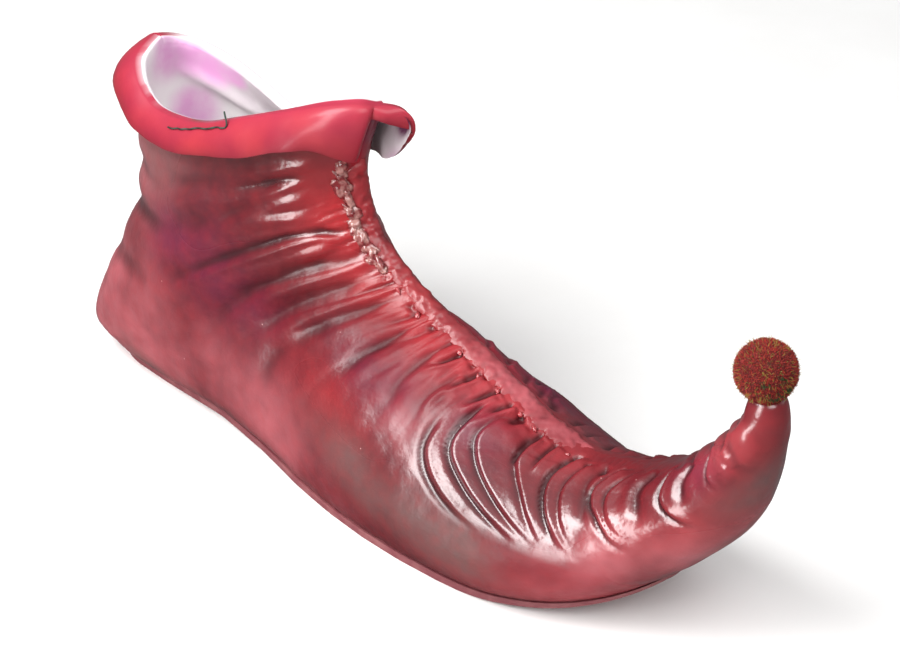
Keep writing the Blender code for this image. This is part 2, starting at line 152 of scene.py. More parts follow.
# Cuff flap round the rim: place round the rim, flare off the upper, drop, how late it flares, and how far
# the hem curls back
CUFF_FLAP = (
    (-1.000, 9.0, 10.0, 1.4, 0.0),
    (-0.950, 10.0, 9.0, 1.4, 0.0),
    (-0.900, 10.0, 9.0, 1.4, 0.0),
    (-0.850, 8.0, 9.5, 1.4, 0.0),
    (-0.800, 6.5, 10.5, 1.5, 0.0),
    (-0.700, 6.0, 12.5, 1.6, 0.0),
    (-0.600, 7.0, 13.5, 1.6, 0.1),
    (-0.500, 7.7, 14.0, 1.6, 0.1),
    (-0.400, 7.5, 14.5, 1.7, 0.0),
    (-0.300, 7.0, 14.0, 2.0, -0.2),
    (-0.200, 8.0, 13.0, 1.9, -0.2),
    (-0.140, 8.5, 13.0, 1.6, 0.0),
    (-0.100, 8.5, 15.0, 1.4, 0.0),
    (-0.065, 8.5, 18.5, 1.3, 0.0),
    (-0.045, 8.5, 20.5, 1.2, 0.0),
    (-0.036, 8.0, 20.0, 1.2, 0.0),
    (-0.032, 5.0, 13.0, 1.0, 0.0),
    (-0.028, 2.5, 4.0, 1.0, 0.0),
    (-0.024, 5.0, 5.0, 1.0, 0.0),
    (-0.019, 15.5, 10.0, 0.9, 0.0),
    (-0.010, 15.5, 13.0, 0.9, 0.0),
    (0.000, 13.5, 17.0, 0.9, 0.0),
    (0.010, 11.0, 21.0, 0.95, 0.0),
    (0.020, 8.5, 24.0, 1.0, 0.0),
    (0.040, 5.0, 26.0, 1.1, 0.0),
    (0.080, 4.0, 26.0, 1.2, 0.0),
    (0.140, 3.5, 27.0, 1.4, 0.0),
    (0.280, 2.0, 24.0, 1.6, 0.0),
    (0.500, 1.5, 17.0, 1.6, 0.0),
    (0.800, 2.0, 14.0, 1.5, 0.0),
    (0.900, 4.0, 11.0, 1.4, 0.0),
    (1.000, 9.0, 10.0, 1.4, 0.0),
)


class Side(Enum):
    """Side of the shoe, as its wearer has it."""

    RIGHT = "right"
    LEFT = "left"

    @property
    def sign(self) -> float:
        """Direction of this side across the shoe."""
        return -1.0 if self is Side.RIGHT else 1.0


class FoldForm(Enum):
    """Cross-cut of a fold in the latex."""

    TROUGH = "soft trough"
    RIDGE = "soft ridge"
    LAP = "groove with a lip on its toe side"


class Tone(Enum):
    """What the brushed paint leans to in a zone: four colours, two of which also lay painted shade, and a
    loss of gloss.
    """

    BRIGHT = 0
    DUSTY = 1
    GRIME = 2
    PLUM = 3
    MATT = 4


def linear(hex_code: str) -> Span:
    """Turn an sRGB hex colour to linear red, green, blue and alpha."""
    parts = [int(hex_code[place:place + 2], 16) / 255 for place in (0, 2, 4)]
    return (*[c / 12.92 if c <= 0.04045 else ((c + 0.055) / 1.055) ** 2.4 for c in parts], 1.0)


def smoothstep(low: float, high: float, value: Array) -> Array:
    """Rise smoothly from 0 at low to 1 at high."""
    share = np.clip((np.asarray(value, float) - low) / (high - low), 0.0, 1.0)
    return share * share * (3.0 - 2.0 * share)


def read_round(table: tuple, around: Array) -> Array:
    """Read a table of places round the rim smoothly.

    Args:
        table: Rows that begin with a place round the rim.
        around: Places to read.

    Returns:
        The other columns, a row for each place.
    """
    rows = np.asarray(table, float)
    place = np.interp(around, rows[:, 0], np.arange(len(rows)))
    return smooth_rows(rows[:, 1:], place)


def smooth_rows(table: Array, place: Array) -> Array:
    """Read a table between its rows with a smooth cubic.

    Args:
        table: Rows of numbers.
        place: Row places to read, whole or in between.

    Returns:
        One row for each place.
    """
    rows = np.asarray(table, float)
    place = np.asarray(place, float)
    last = len(rows) - 1
    index = np.clip(np.floor(place).astype(int), 0, last - 1)
    step = (place - index)[:, None]
    before = rows[np.clip(index - 1, 0, last)]
    here = rows[index]
    after = rows[index + 1]
    beyond = rows[np.clip(index + 2, 0, last)]
    return 0.5 * (
        2 * here
        + (after - before) * step
        + (2 * before - 5 * here + 4 * after - beyond) * step**2
        + (3 * here - before - 3 * after + beyond) * step**3
    )


@dataclass(frozen=True)
class ShoeLast:
    """Form of the last: the surface that the upper has and that the other pieces are laid on."""

    heel_row: float = 8.0
    toe_row: float = 18.0
    floor_line: float = 3.5
    sag_right: float = 1.15
    sag_left: float = 0.8
    ease: float = 0.6
    ease_heel: float = 1.6
    ease_toe: float = 1.2
    ease_edge: float = 8.0
    ease_toe_row: float = 17.5
    # Steps along the last and their weights, by which the turns under heel and toe are eased
    ease_steps: tuple[Pair, ...] = ((-2, 0.0625), (-1, 0.25), (0, 0.375), (1, 0.25), (2, 0.0625))
    heel_end: float = -9.0
    heel_round: float = 34.0
    heel_full: float = 2.1
    toe_end: float = 298.0
    toe_round: float = 70.0
    toe_full: float = 1.9
    dense: int = 120
    # Limits that keep a section from closing to nothing
    least_half: float = 1e-4
    least_run: float = 1.0
    most_edge: float = 0.999
    collar_middle: float = 75.0
    collar_deep: float = 1.8
    sleeve: float = 5.0
    sleeve_rows: Pair = (22.4, 23.3)
    step_along: float = 0.02
    step_round: float = 0.004
    seam_samples: int = 600
    tread_samples: int = 400

    def column(self, values: Array, name: str) -> Array:
        """Take one named column of the section table."""
        return values[:, SECTION_COLUMNS.index(name)]

    def values(self, stations: Array) -> Array:
        """Read the section table, with the tread line held above the sole.

        Args:
            stations: Rows of the table, whole or in between.

        Returns:
            The table's columns, a row for each station.
        """
        values = smooth_rows(SECTIONS, stations)
        low = SECTION_COLUMNS.index("back_z")
        values[:, low] = np.maximum(values[:, low], self.floor_line)
        return values

    def sole_half(self, x: Array, side: Side) -> Array:
        """Half-width of the sole outline, closed to a round end at heel and toe.

        Args:
            x: Millimetres from the back of the heel.
            side: Side of the shoe.

        Returns:
            Half-widths in millimetres.
        """
        table = np.asarray(SOLE_SIDES)
        base = np.interp(x, table[:, 0], table[:, SOLE_COLUMNS.index(side.value)])
        heel = np.clip((x - self.heel_end) / self.heel_round, 0.0, 1.0)
        toe = np.clip((self.toe_end - x) / self.toe_round, 0.0, 1.0)
        heel_close = (1.0 - (1.0 - heel) ** self.heel_full) ** (1 / self.heel_full)
        toe_close = (1.0 - (1.0 - toe) ** self.toe_full) ** (1 / self.toe_full)
        return base * heel_close * toe_close

    def half_section(self, stations: Array, side: Side) -> tuple[Array, Array, Array]:
        """Lay out one side of every section.

        Args:
            stations: Rows of the section table, whole or in between.
            side: Side of the shoe.

        Returns:
            Share of the way from front to back, width, and run length, a row for each station.
        """
        values = self.values(stations)
        turn = np.linspace(0.0, 1.0, self.dense)[None, :]
        wide = np.maximum(self.column(values, side.value), self.least_half)[:, None]
        widest = self.column(values, "widest")[:, None]
        peak = self.column(values, "peak_" + side.value)[:, None]
        low = self.column(values, "low_round")[:, None]
        on_sole = (stations >= self.heel_row) & (stations <= self.toe_row)
        edge = np.where(on_sole, self.sole_half(self.column(values, "back_x"), side), 0.0)[:, None]
        rise = np.hypot(
            self.column(values, "back_x") - self.column(values, "front_x"),
            self.column(values, "back_z") - self.column(values, "front_z"),
        )[:, None]
        top = turn * math.pi / 2
        share_top = widest * (1.0 - np.clip(np.cos(top), 0.0, 1.0) ** (2 / peak))
        width_top = wide * np.sin(top) ** (2 / peak)
        # The lower part is a rounded corner cut off where it meets the sole's edge
        stop = np.arccos(np.clip(edge / wide, 0.0, self.most_edge) ** (low / 2))
        share_low = widest + (1.0 - widest) * (np.sin(turn * stop) / np.sin(stop)) ** (2 / low)
        width_low = wide * np.clip(np.cos(turn * stop), 0.0, 1.0) ** (2 / low)
        share = np.hstack([share_top, share_low[:, 1:]])
        width = np.hstack([width_top, width_low[:, 1:]])
        pieces = np.hypot(np.diff(share, axis=1) * rise, np.diff(width, axis=1))
        run = np.hstack([np.zeros((len(stations), 1)), np.cumsum(pieces, axis=1)])
        return share, width, run

    def plain(self, stations: Array, around: Array) -> Array:
        """Points of the sections as they stand in the table.

        Args:
            stations: Rows of the section table, one for each row of points.
            around: Places round the section, from -1 on the right to 1 on the left.

        Returns:
            Points in millimetres, a row for each station.
        """
        values = self.values(stations)
        points = np.zeros((len(stations), around.shape[-1], 3))
        for side, skew in ((Side.RIGHT, self.sag_right), (Side.LEFT, self.sag_left)):
            share, width, run = self.half_section(stations, side)
            sag = self.column(values, "sag_" + side.value)
            for row in range(len(stations)):
                places = around if around.ndim == 1 else around[row]
                chosen = np.where(places < 0 if side is Side.RIGHT else places >= 0)[0]
                reach = np.abs(places[chosen])
                length = reach * run[row, -1]
                part = np.interp(length, run[row], share[row])
                front_x, front_z, back_x, back_z = values[row, :4]
                points[row, chosen, 0] = front_x + (back_x - front_x) * part
                points[row, chosen, 1] = side.sign * np.interp(length, run[row], width[row])
                drop = sag[row] * np.sin(math.pi * reach**skew)
                points[row, chosen, 2] = front_z + (back_z - front_z) * part - drop
        return points

    def surface(self, stations: Array, around: Array) -> Array:
        """Outside of the upper, eased where the sections turn under the heel and the toe.

        Args:
            stations: Rows of the section table, one for each row of points.
            around: Places round the section, the same for each row or a row for each.

        Returns:
            Points in millimetres, a row for each station.
        """
        stations = np.asarray(stations, float)
        around = np.asarray(around, float)
        points = self.plain(stations, around)
        heel = np.exp(-(((stations - self.heel_row) / self.ease_heel) ** 2))
        toe = np.exp(-(((stations - self.ease_toe_row) / self.ease_toe) ** 2))
        spread = self.ease * np.maximum(heel, toe)
        reach = np.abs(np.broadcast_to(around, points.shape[:2]))
        share = np.clip(1.0 - reach**self.ease_edge, 0.0, 1.0)
        eased = np.zeros_like(points)
        for step, weight in self.ease_steps:
            moved = np.clip(stations + step * spread, 0.0, len(SECTIONS) - 1)
            eased += self.plain(moved, around) * weight
        points += (eased - points) * share[:, :, None]
        points[:, :, 2] = np.maximum(points[:, :, 2], self.floor_line)
        collar = stations < self.collar_deep
        if collar.any():
            places = around if around.ndim == 1 else around[collar]
            points[collar] += self.collar_shift(stations[collar], places)
        points[:, :, 2] += (self.sleeve * smoothstep(*self.sleeve_rows, stations))[:, None]
        return points

    def collar_shift(self, stations: Array, around: Array) -> Array:
        """Shift of the collar off the plain last, fading below the rim.

        Args:
            stations: Rows of the section table, near the rim.
            around: Places round the section.

        Returns:
            A shift for each point, in millimetres.
        """
        places = np.broadcast_to(around, (len(stations), around.shape[-1]))
        shift = read_round(COLLAR_SHIFT, places.ravel())
        spots = self.plain(np.zeros(len(stations)), around).reshape(-1, 3)
        toward = np.array([self.collar_middle, 0.0, 0.0]) - spots
        toward[:, 2] = 0.0
        toward /= np.maximum(np.linalg.norm(toward, axis=1, keepdims=True), TINY)
        moved = toward * shift[:, :1]
        moved[:, 2] += shift[:, 1]
        fade = 1.0 - smoothstep(0.0, self.collar_deep, stations)
        return moved.reshape(*places.shape, 3) * fade[:, None, None]

    def outward(self, stations: Array, around: Array) -> Array:
        """Unit normals of the upper, facing out.

        Args:
            stations: Rows of the section table, one for each row of points.
            around: Places round the section.

        Returns:
            A normal for each point.
        """
        ahead = self.surface(stations + self.step_along, around)
        along = ahead - self.surface(stations - self.step_along, around)
        beyond = self.surface(stations, around + self.step_round)
        across = beyond - self.surface(stations, around - self.step_round)
        normal = np.cross(along, across)
        return normal / np.maximum(np.linalg.norm(normal, axis=2, keepdims=True), TINY)

    @cached_property
    def seam_line(self) -> tuple[Array, Array]:
        """Measure the front seam.

        Returns:
            Stations close together, and the millimetres along the seam at each.
        """
        stations = np.linspace(0.0, len(SECTIONS) - 1, self.seam_samples)
        front = self.surface(stations, np.zeros(1))[:, 0]
        steps = np.linalg.norm(np.diff(front, axis=0), axis=1)
        return stations, np.concatenate([[0.0], np.cumsum(steps)])

    @cached_property
    def runs(self) -> dict[Side, Array]:
        """Length of each side from the seam to its lower edge, at the seam line's stations."""
        stations = self.seam_line[0]
        return {side: self.half_section(stations, side)[2][:, -1] for side in Side}

    def station_at(self, along: Array) -> Array:
        """Station at millimetres along the front seam."""
        stations, length = self.seam_line
        return np.interp(along, length, stations)

    def along_at(self, station: Array) -> Array:
        """Millimetres along the front seam at a station."""
        stations, length = self.seam_line
        return np.interp(station, stations, length)

    def run_at(self, station: Array, side: Side) -> Array:
        """Length of one side from the seam to its lower edge."""
        return np.interp(station, self.seam_line[0], self.runs[side])

    def place_at(self, along: Array, down: Array) -> tuple[Array, Array]:
        """Turn spots to stations and places round the section.

        Args:
            along: Millimetres along the front seam.
            down: Millimetres down the side, below zero on the right.

        Returns:
            Stations, and places round the section from -1 to 1.
        """
        station = self.station_at(along)
        right, left = (np.maximum(self.run_at(station, side), self.least_run) for side in Side)
        return station, np.clip(np.where(np.asarray(down) < 0, down / right, down / left), -1.0, 1.0)

    def spots(self, along: Array, down: Array) -> tuple[Array, Array]:
        """Points and normals of the upper at spots on it.

        Args:
            along: Millimetres along the front seam.
            down: Millimetres down the side, below zero on the right.

        Returns:
            Points in millimetres, and unit normals.
        """
        station, around = self.place_at(np.asarray(along, float), np.asarray(down, float))
        places = around[:, None]
        return self.surface(station, places)[:, 0], self.outward(station, places)[:, 0]

    def tread_line(self) -> tuple[Array, Array]:
        """Line of the upper's lower edge along the sole: x and height."""
        values = self.values(np.linspace(self.heel_row, self.toe_row, self.tread_samples))
        return self.column(values, "back_x"), self.column(values, "back_z")


LAST = ShoeLast()

# Cross-cuts of the folds, in shares of their width and height: the swelling beside a trough, its height and
# place, and then a lap's step, groove and lip
TROUGH_SIDE = (0.3, 1.9)
LAP_STEP = (-0.3, 0.8)
LAP_STEP_SHARE = 0.85
LAP_GROOVE_PLACE = 0.5
LAP_GROOVE_WIDTH = 0.65
LAP_GROOVE_DEPTH = 0.75
LAP_GROOVE_LOSS = 0.5
LAP_LIP_PLACE = 0.75
LAP_LIP_WIDTH = 0.4
LAP_LIP_SHARE = 0.15
# How many widths a fold reaches, and how many of its plates a lap does
FOLD_REACH = 4.0
LAP_REACH = 2.5
# On the far side of the shoe: what a fold keeps of its way down and of its height, and its shift along
FAR_DOWN = 0.94
FAR_HEIGHT = 0.5
FAR_SHIFT = 2.0


@dataclass(frozen=True)
class Fold:
    """One fold of the latex, through spots given as millimetres along the seam and down the side."""

    form: FoldForm
    width: float
    height: float
    spots: tuple[tuple[float, float], ...]
    side: Side = Side.RIGHT
    grow: float = 0.3
    fade_in: float = 0.10
    fade_out: float = 0.40
    plate: float = 4.0
    samples: int = 22

    def path(self) -> tuple[Array, Array]:
        """Spots along a smooth curve through the fold's own: millimetres along and signed down."""
        line = smooth_rows(self.spots, np.linspace(0.0, len(self.spots) - 1, self.samples))
        return line[:, 0], line[:, 1] * self.side.sign

    def profile(self, across: Array, width: Array, way: Array) -> Array:
        """Height of the cross-cut, for a fold one high.

        Args:
            across: Millimetres from the middle of the fold, below zero on its collar side.
            width: Width of the fold there.
            way: Share of the way along the fold.

        Returns:
            Heights in shares of the fold's own.
        """
        share = across / width
        if self.form is FoldForm.TROUGH:
            rise, place = TROUGH_SIDE
            return -np.exp(-(share**2)) + rise * np.exp(-((np.abs(share) - place) ** 2))
        if self.form is FoldForm.RIDGE:
            return np.exp(-(share**2))
        fall = np.exp(-np.maximum(share - LAP_STEP[1], 0.0) / self.plate)
        groove = np.exp(-(((share + LAP_GROOVE_PLACE) / LAP_GROOVE_WIDTH) ** 2))
        groove *= LAP_GROOVE_DEPTH - LAP_GROOVE_LOSS * way
        lip = np.exp(-(((share - LAP_LIP_PLACE) / LAP_LIP_WIDTH) ** 2))
        return smoothstep(*LAP_STEP, share) * fall * LAP_STEP_SHARE + lip * LAP_LIP_SHARE - groove

    def relief(self, points: Array, normals: Array) -> Array:
        """Height that the fold adds at points of the upper.

        Args:
            points: Points of the upper in millimetres.
            normals: Normals there.

        Returns:
            Millimetres out along each normal.
        """
        line = LAST.spots(*self.path())[0]
        spread = LAP_REACH * self.plate if self.form is FoldForm.LAP else FOLD_REACH
        margin = self.width * (1.0 + self.grow) * spread
        near = np.all((points > line.min(0) - margin) & (points < line.max(0) + margin), axis=1)
        found = np.where(near)[0]
        result = np.zeros(len(points))
        if len(found) == 0:
            return result
        spot = points[found]
        start = line[:-1]
        step = np.diff(line, axis=0)
        length = np.linalg.norm(step, axis=1)
        begun = np.concatenate([[0.0], np.cumsum(length)])
        offset = spot[:, None, :] - start[None, :, :]
        share = np.clip((offset * step).sum(2) / np.maximum(length**2, TINY), 0.0, 1.0)
        away = offset - share[:, :, None] * step
        best = np.linalg.norm(away, axis=2).argmin(axis=1)
        rows = np.arange(len(found))
        gap = away[rows, best]
        way = (begun[best] + share[rows, best] * length[best]) / begun[-1]
        toward = np.cross(normals[found], step[best] / np.maximum(length[best], TINY)[:, None])
        side = np.sign((toward * gap).sum(1)) * -self.side.sign
        across = np.linalg.norm(gap, axis=1) * side
        width = self.width * (1.0 + self.grow * way)
        ends = smoothstep(0.0, self.fade_in, way) * (1.0 - smoothstep(1.0 - self.fade_out, 1.0, way))
        result[found] = self.height * ends * self.profile(across, width, way)
        return result

    def mirrored(self) -> "Fold":
        """The same fold on the far side, lower and a little further along."""
        spots = tuple((along + FAR_SHIFT, down * FAR_DOWN) for along, down in self.spots)
        return replace(self, side=Side.LEFT, spots=spots, height=self.height * FAR_HEIGHT)


# Folds of the right side, read off the photo along the seam and down the side
CREASES = (
    Fold(
        FoldForm.LAP, 2.8, 2.4, ((136, 26), (141, 43), (153, 51), (172, 53)),
        grow=-0.3, fade_in=0.3, plate=3.2,
    ),
    Fold(FoldForm.LAP, 2.3, 2.8, ((142, 11), (145, 34), (159, 43), (184, 49)), grow=-0.35, plate=3.4),
    Fold(
        FoldForm.LAP, 1.9, 2.0, ((152, 9), (149, 24), (156, 33), (170, 40), (189, 47)), grow=-0.3, plate=8.0
    ),
    Fold(FoldForm.LAP, 1.9, 1.5, ((164, 11), (166, 23), (177, 34), (190, 47)), grow=-0.35, plate=3.2),
    Fold(FoldForm.LAP, 1.7, 2.0, ((121, 6.5), (120, 14), (117, 24)), grow=0.0, plate=1.5),
    Fold(FoldForm.LAP, 1.9, 2.4, ((131, 6.5), (130.5, 14), (128, 25)), grow=0.0, plate=1.5),
    Fold(FoldForm.LAP, 1.7, 2.2, ((141.5, 6.5), (139.5, 14), (137, 24)), grow=0.0, plate=1.5),
    Fold(FoldForm.LAP, 1.9, 2.4, ((149.5, 6.5), (147, 14), (143.5, 26)), grow=0.0, plate=1.5),
    Fold(FoldForm.TROUGH, 2.1, 2.4, ((156, 7), (153.5, 11), (150.5, 17)), fade_in=0.15, fade_out=0.5),
    Fold(FoldForm.LAP, 1.9, 2.2, ((165.5, 6.5), (165, 15), (165.5, 28)), grow=0.0, plate=1.5),
    Fold(FoldForm.LAP, 1.6, 2.0, ((173, 6.5), (172, 14), (172.5, 25)), grow=0.0, plate=1.5),
    Fold(FoldForm.LAP, 2.4, 3.2, ((185, 4), (180, 19), (184, 31), (196, 46)), grow=-0.3, plate=3.0),
    Fold(FoldForm.LAP, 1.5, 1.5, ((191, 6), (187, 20), (191, 32), (198, 43)), grow=-0.3),
    Fold(FoldForm.TROUGH, 2.0, 1.2, ((198, 5), (194, 15), (197, 25), (201, 35))),
    Fold(FoldForm.LAP, 2.0, 2.6, ((207, 4), (199, 18), (204, 31), (214, 42)), grow=-0.3, plate=3.2),
    Fold(FoldForm.LAP, 1.6, 1.8, ((215, 5), (206, 19), (208, 29), (215, 38)), grow=-0.3),
    Fold(FoldForm.TROUGH, 2.0, 1.2, ((224, 7), (218, 17), (219, 31))),
    Fold(FoldForm.LAP, 2.0, 2.0, ((235, 7), (228, 18), (228, 26), (233, 37)), grow=-0.3, plate=3.2),
    Fold(FoldForm.TROUGH, 1.8, 1.1, ((244, 9), (237, 17), (235, 26))),
    Fold(FoldForm.LAP, 1.8, 1.6, ((257, 7), (248, 18), (247, 26)), grow=-0.2),
    Fold(FoldForm.LAP, 1.5, 1.2, ((266, 6), (259, 15), (258, 22)), grow=-0.2),
    Fold(FoldForm.RIDGE, 4.6, 2.9, ((275, 6), (270, 13), (265, 20), (261, 28)), grow=0.0, fade_in=0.3),
    Fold(FoldForm.RIDGE, 3.4, 2.3, ((262, 10), (256, 18), (252, 27)), grow=0.0, fade_in=0.3),
    Fold(FoldForm.RIDGE, 2.6, 1.4, ((24.5, 16), (26.5, 31), (28.5, 44), (31, 60)), fade_in=0.3, fade_out=0.6),
    Fold(FoldForm.TROUGH, 2.2, 1.1, ((28, 20), (31, 34), (33.5, 47), (36.5, 62)), fade_in=0.4, fade_out=0.5),
    Fold(FoldForm.RIDGE, 2.4, 1.2, ((31, 20), (35, 34), (38, 44), (41, 56)), fade_in=0.4, fade_out=0.6),
    Fold(FoldForm.RIDGE, 2.6, 1.3, ((38, 18), (40.5, 32), (43, 42), (46, 56)), fade_in=0.4, fade_out=0.6),
    Fold(FoldForm.TROUGH, 2.4, 1.0, ((39, 44), (43.5, 56), (48, 72)), fade_in=0.4, fade_out=0.5),
    Fold(FoldForm.RIDGE, 2.0, 1.1, ((46, 18), (47, 32), (47.5, 46), (49, 58)), fade_in=0.4, fade_out=0.6),
    Fold(FoldForm.RIDGE, 1.9, 0.9, ((53, 20), (52, 32), (51.5, 44)), fade_in=0.4, fade_out=0.6),
    Fold(FoldForm.RIDGE, 2.2, 1.0, ((60, 16), (60.5, 32), (61.5, 48)), fade_in=0.4, fade_out=0.6),
    Fold(FoldForm.LAP, 2.4, 2.2, ((55, 12), (54, 30), (57, 50), (61, 76), (68, 118)), grow=0.8, fade_out=0.4),
    Fold(FoldForm.TROUGH, 4.6, 1.5, ((46, 64), (49, 84), (51, 106)), fade_in=0.4),
    Fold(FoldForm.RIDGE, 3.2, 1.0, ((38, 58), (42, 80), (44, 104)), fade_in=0.4),
    Fold(FoldForm.TROUGH, 3.0, 0.9, ((31, 60), (34, 80), (36, 100)), fade_in=0.4),
    Fold(
        FoldForm.TROUGH, 2.4, 1.7, ((65, 13), (65, 26), (67, 45), (74, 78), (86, 108)), grow=1.0, fade_in=0.2
    ),
    Fold(FoldForm.TROUGH, 2.4, 1.6, ((77, 14), (78, 36), (81, 58), (88, 80)), grow=0.8, fade_in=0.2),
    Fold(FoldForm.TROUGH, 2.2, 1.4, ((88, 12), (89, 28), (92, 54), (98, 72)), grow=0.8, fade_in=0.2),
    Fold(FoldForm.TROUGH, 2.2, 1.1, ((101, 12), (104, 34), (110, 58)), grow=0.8, fade_in=0.2),
    Fold(FoldForm.TROUGH, 3.6, 1.0, ((92, 60), (99, 80), (107, 98)), grow=0.5, fade_in=0.4),
    Fold(FoldForm.TROUGH, 2.0, 1.1, ((114, 12), (117, 30), (123, 46)), grow=0.6, fade_in=0.2),
    Fold(FoldForm.LAP, 1.8, 1.2, ((127, 12), (128, 28), (133, 42)), grow=0.6),
)
# Puckers where the inner side of the curl is drawn together, as bands that cross the seam
CURL_BANDS = tuple(
    Fold(
        FoldForm.TROUGH, 1.5, depth, ((along, 13), (along - lean, 0), (along, -11)), fade_in=0.3, fade_out=0.3
    )
    for along, depth, lean in (
        (243, 1.0, 2), (250.5, 0.6, 1), (255, 1.1, 3), (262.5, 0.8, 1), (266, 0.5, 2), (272.5, 0.9, 3),
    )
)
# Soft bulges of the counter above the heel
HEEL_BULGES = (
    Fold(FoldForm.TROUGH, 4.0, 1.0, ((41, 98), (36, 122), (37, 152)), grow=0.3, fade_in=0.4),
    Fold(FoldForm.TROUGH, 4.5, 2.1, ((55, 88), (51, 106), (48, 132), (48, 164)), grow=0.3, fade_in=0.4),
    Fold(FoldForm.TROUGH, 4.5, 1.0, ((66, 116), (60, 145), (59, 188)), grow=0.3, fade_in=0.4),
    Fold(FoldForm.TROUGH, 4.0, 0.6, ((24, 96), (26, 124), (25, 150)), grow=0.2, fade_in=0.4),
)
# Soft ridge of the lining inside the far wall of the collar
LINING_RIDGE = Fold(
    FoldForm.RIDGE, 3.0, 1.8, ((12, 142), (17, 128), (21, 115), (27, 99), (34, 82)), Side.LEFT, fade_in=0.2
)


@dataclass(frozen=True)
class Pleats:
    """A run of pleats drawn in by the seam: rounded ribs with sharp valleys that fade down the side."""

    spacing: float
    depth: float
    reach: float
    start: float
    stop: float
    seed: float
    top: float = 7.0
    slant: float = 0.12
    bend: float = 0.9
    sway_size: float = 3.5
    sway_down: float = 0.4
    rib_power: float = 0.8
    rib_mean: float = 0.7
    uneven_size: float = 1.6
    uneven_seed: float = 9.0
    reach_mean: float = 0.8
    reach_vary: float = 1.1
    reach_least: float = 3.0
    fade_power: float = 1.6
    fade_in: float = 14.0
    fade_out: float = 16.0
    far_share: float = 0.2
    far_noise: float = 60.0

    def relief(self, along: Array, down: Array) -> Array:
        """Height of the ribs at spots on the upper.

        Args:
            along: Millimetres along the front seam.
            down: Millimetres down the side, below zero on the right.

        Returns:
            Millimetres out.
        """
        below = np.abs(down)
        other = np.where(down < 0, 0.0, self.far_noise)
        path = np.stack([along, below * self.sway_down, other], axis=1)
        sway = waves(path, self.spacing * self.sway_size, self.seed)
        phase = (along - self.slant * below) / self.spacing + self.bend * sway
        rib = np.abs(np.sin(math.pi * phase)) ** self.rib_power - self.rib_mean
        ribs = np.stack([phase, other, other], axis=1)
        uneven = waves(ribs, self.uneven_size, self.seed + self.uneven_seed)
        reach = np.maximum(self.reach * (self.reach_mean + self.reach_vary * uneven), self.reach_least)
        fade = np.exp(-((np.maximum(below - self.top, 0.0) / reach) ** self.fade_power))
        ends = smoothstep(self.start, self.start + self.fade_in, along)
        ends *= 1.0 - smoothstep(self.stop - self.fade_out, self.stop, along)
        return self.depth * rib * fade * ends * np.where(down < 0, 1.0, self.far_share)


# Small pleats close to the seam, and wider ones that they run together into
PLEATS = (
    Pleats(2.7, 0.5, 15.0, 34.0, 150.0, 2.0),
    Pleats(4.9, 0.8, 27.0, 40.0, 150.0, 31.0),
    Pleats(8.7, 0.9, 50.0, 44.0, 145.0, 57.0),
    Pleats(3.4, 0.45, 11.0, 138.0, 212.0, 83.0),
)


@dataclass(frozen=True)
class SeamPits:
    """Small pits where the seam's thread goes into the latex, beside the band."""

    start: float = 44.0
    stop: float = 198.0
    spacing: float = 9.0
    down: float = -8.6
    depth: float = 1.1
    size: float = 1.3
    stray_along: float = 4.0
    stray_down: float = 1.0
    seed: int = 11

    def relief(self, points: Array) -> Array:
        """Depth of the pits at points of the upper.

        Args:
            points: Points of the upper in millimetres.

        Returns:
            Millimetres out, below zero.
        """
        draw = np.random.default_rng(self.seed)
        along = np.arange(self.start, self.stop, self.spacing)
        along = along + draw.uniform(-self.stray_along, self.stray_along, len(along))
        down = self.down + draw.uniform(-self.stray_down, self.stray_down, len(along))
        depth = np.zeros(len(points))
        for spot in LAST.spots(along, down)[0]:
            far = ((points - spot) ** 2).sum(1) / self.size**2
            depth -= self.depth * np.exp(-far)
        return depth


@dataclass(frozen=True)
class Zone:
    """A cloud of one tone in the brushed paint, round a spot on the upper."""

    tone: Tone
    along: float
    down: float
    along_reach: float
    down_reach: float
    strength: float
    side: Side | None = None


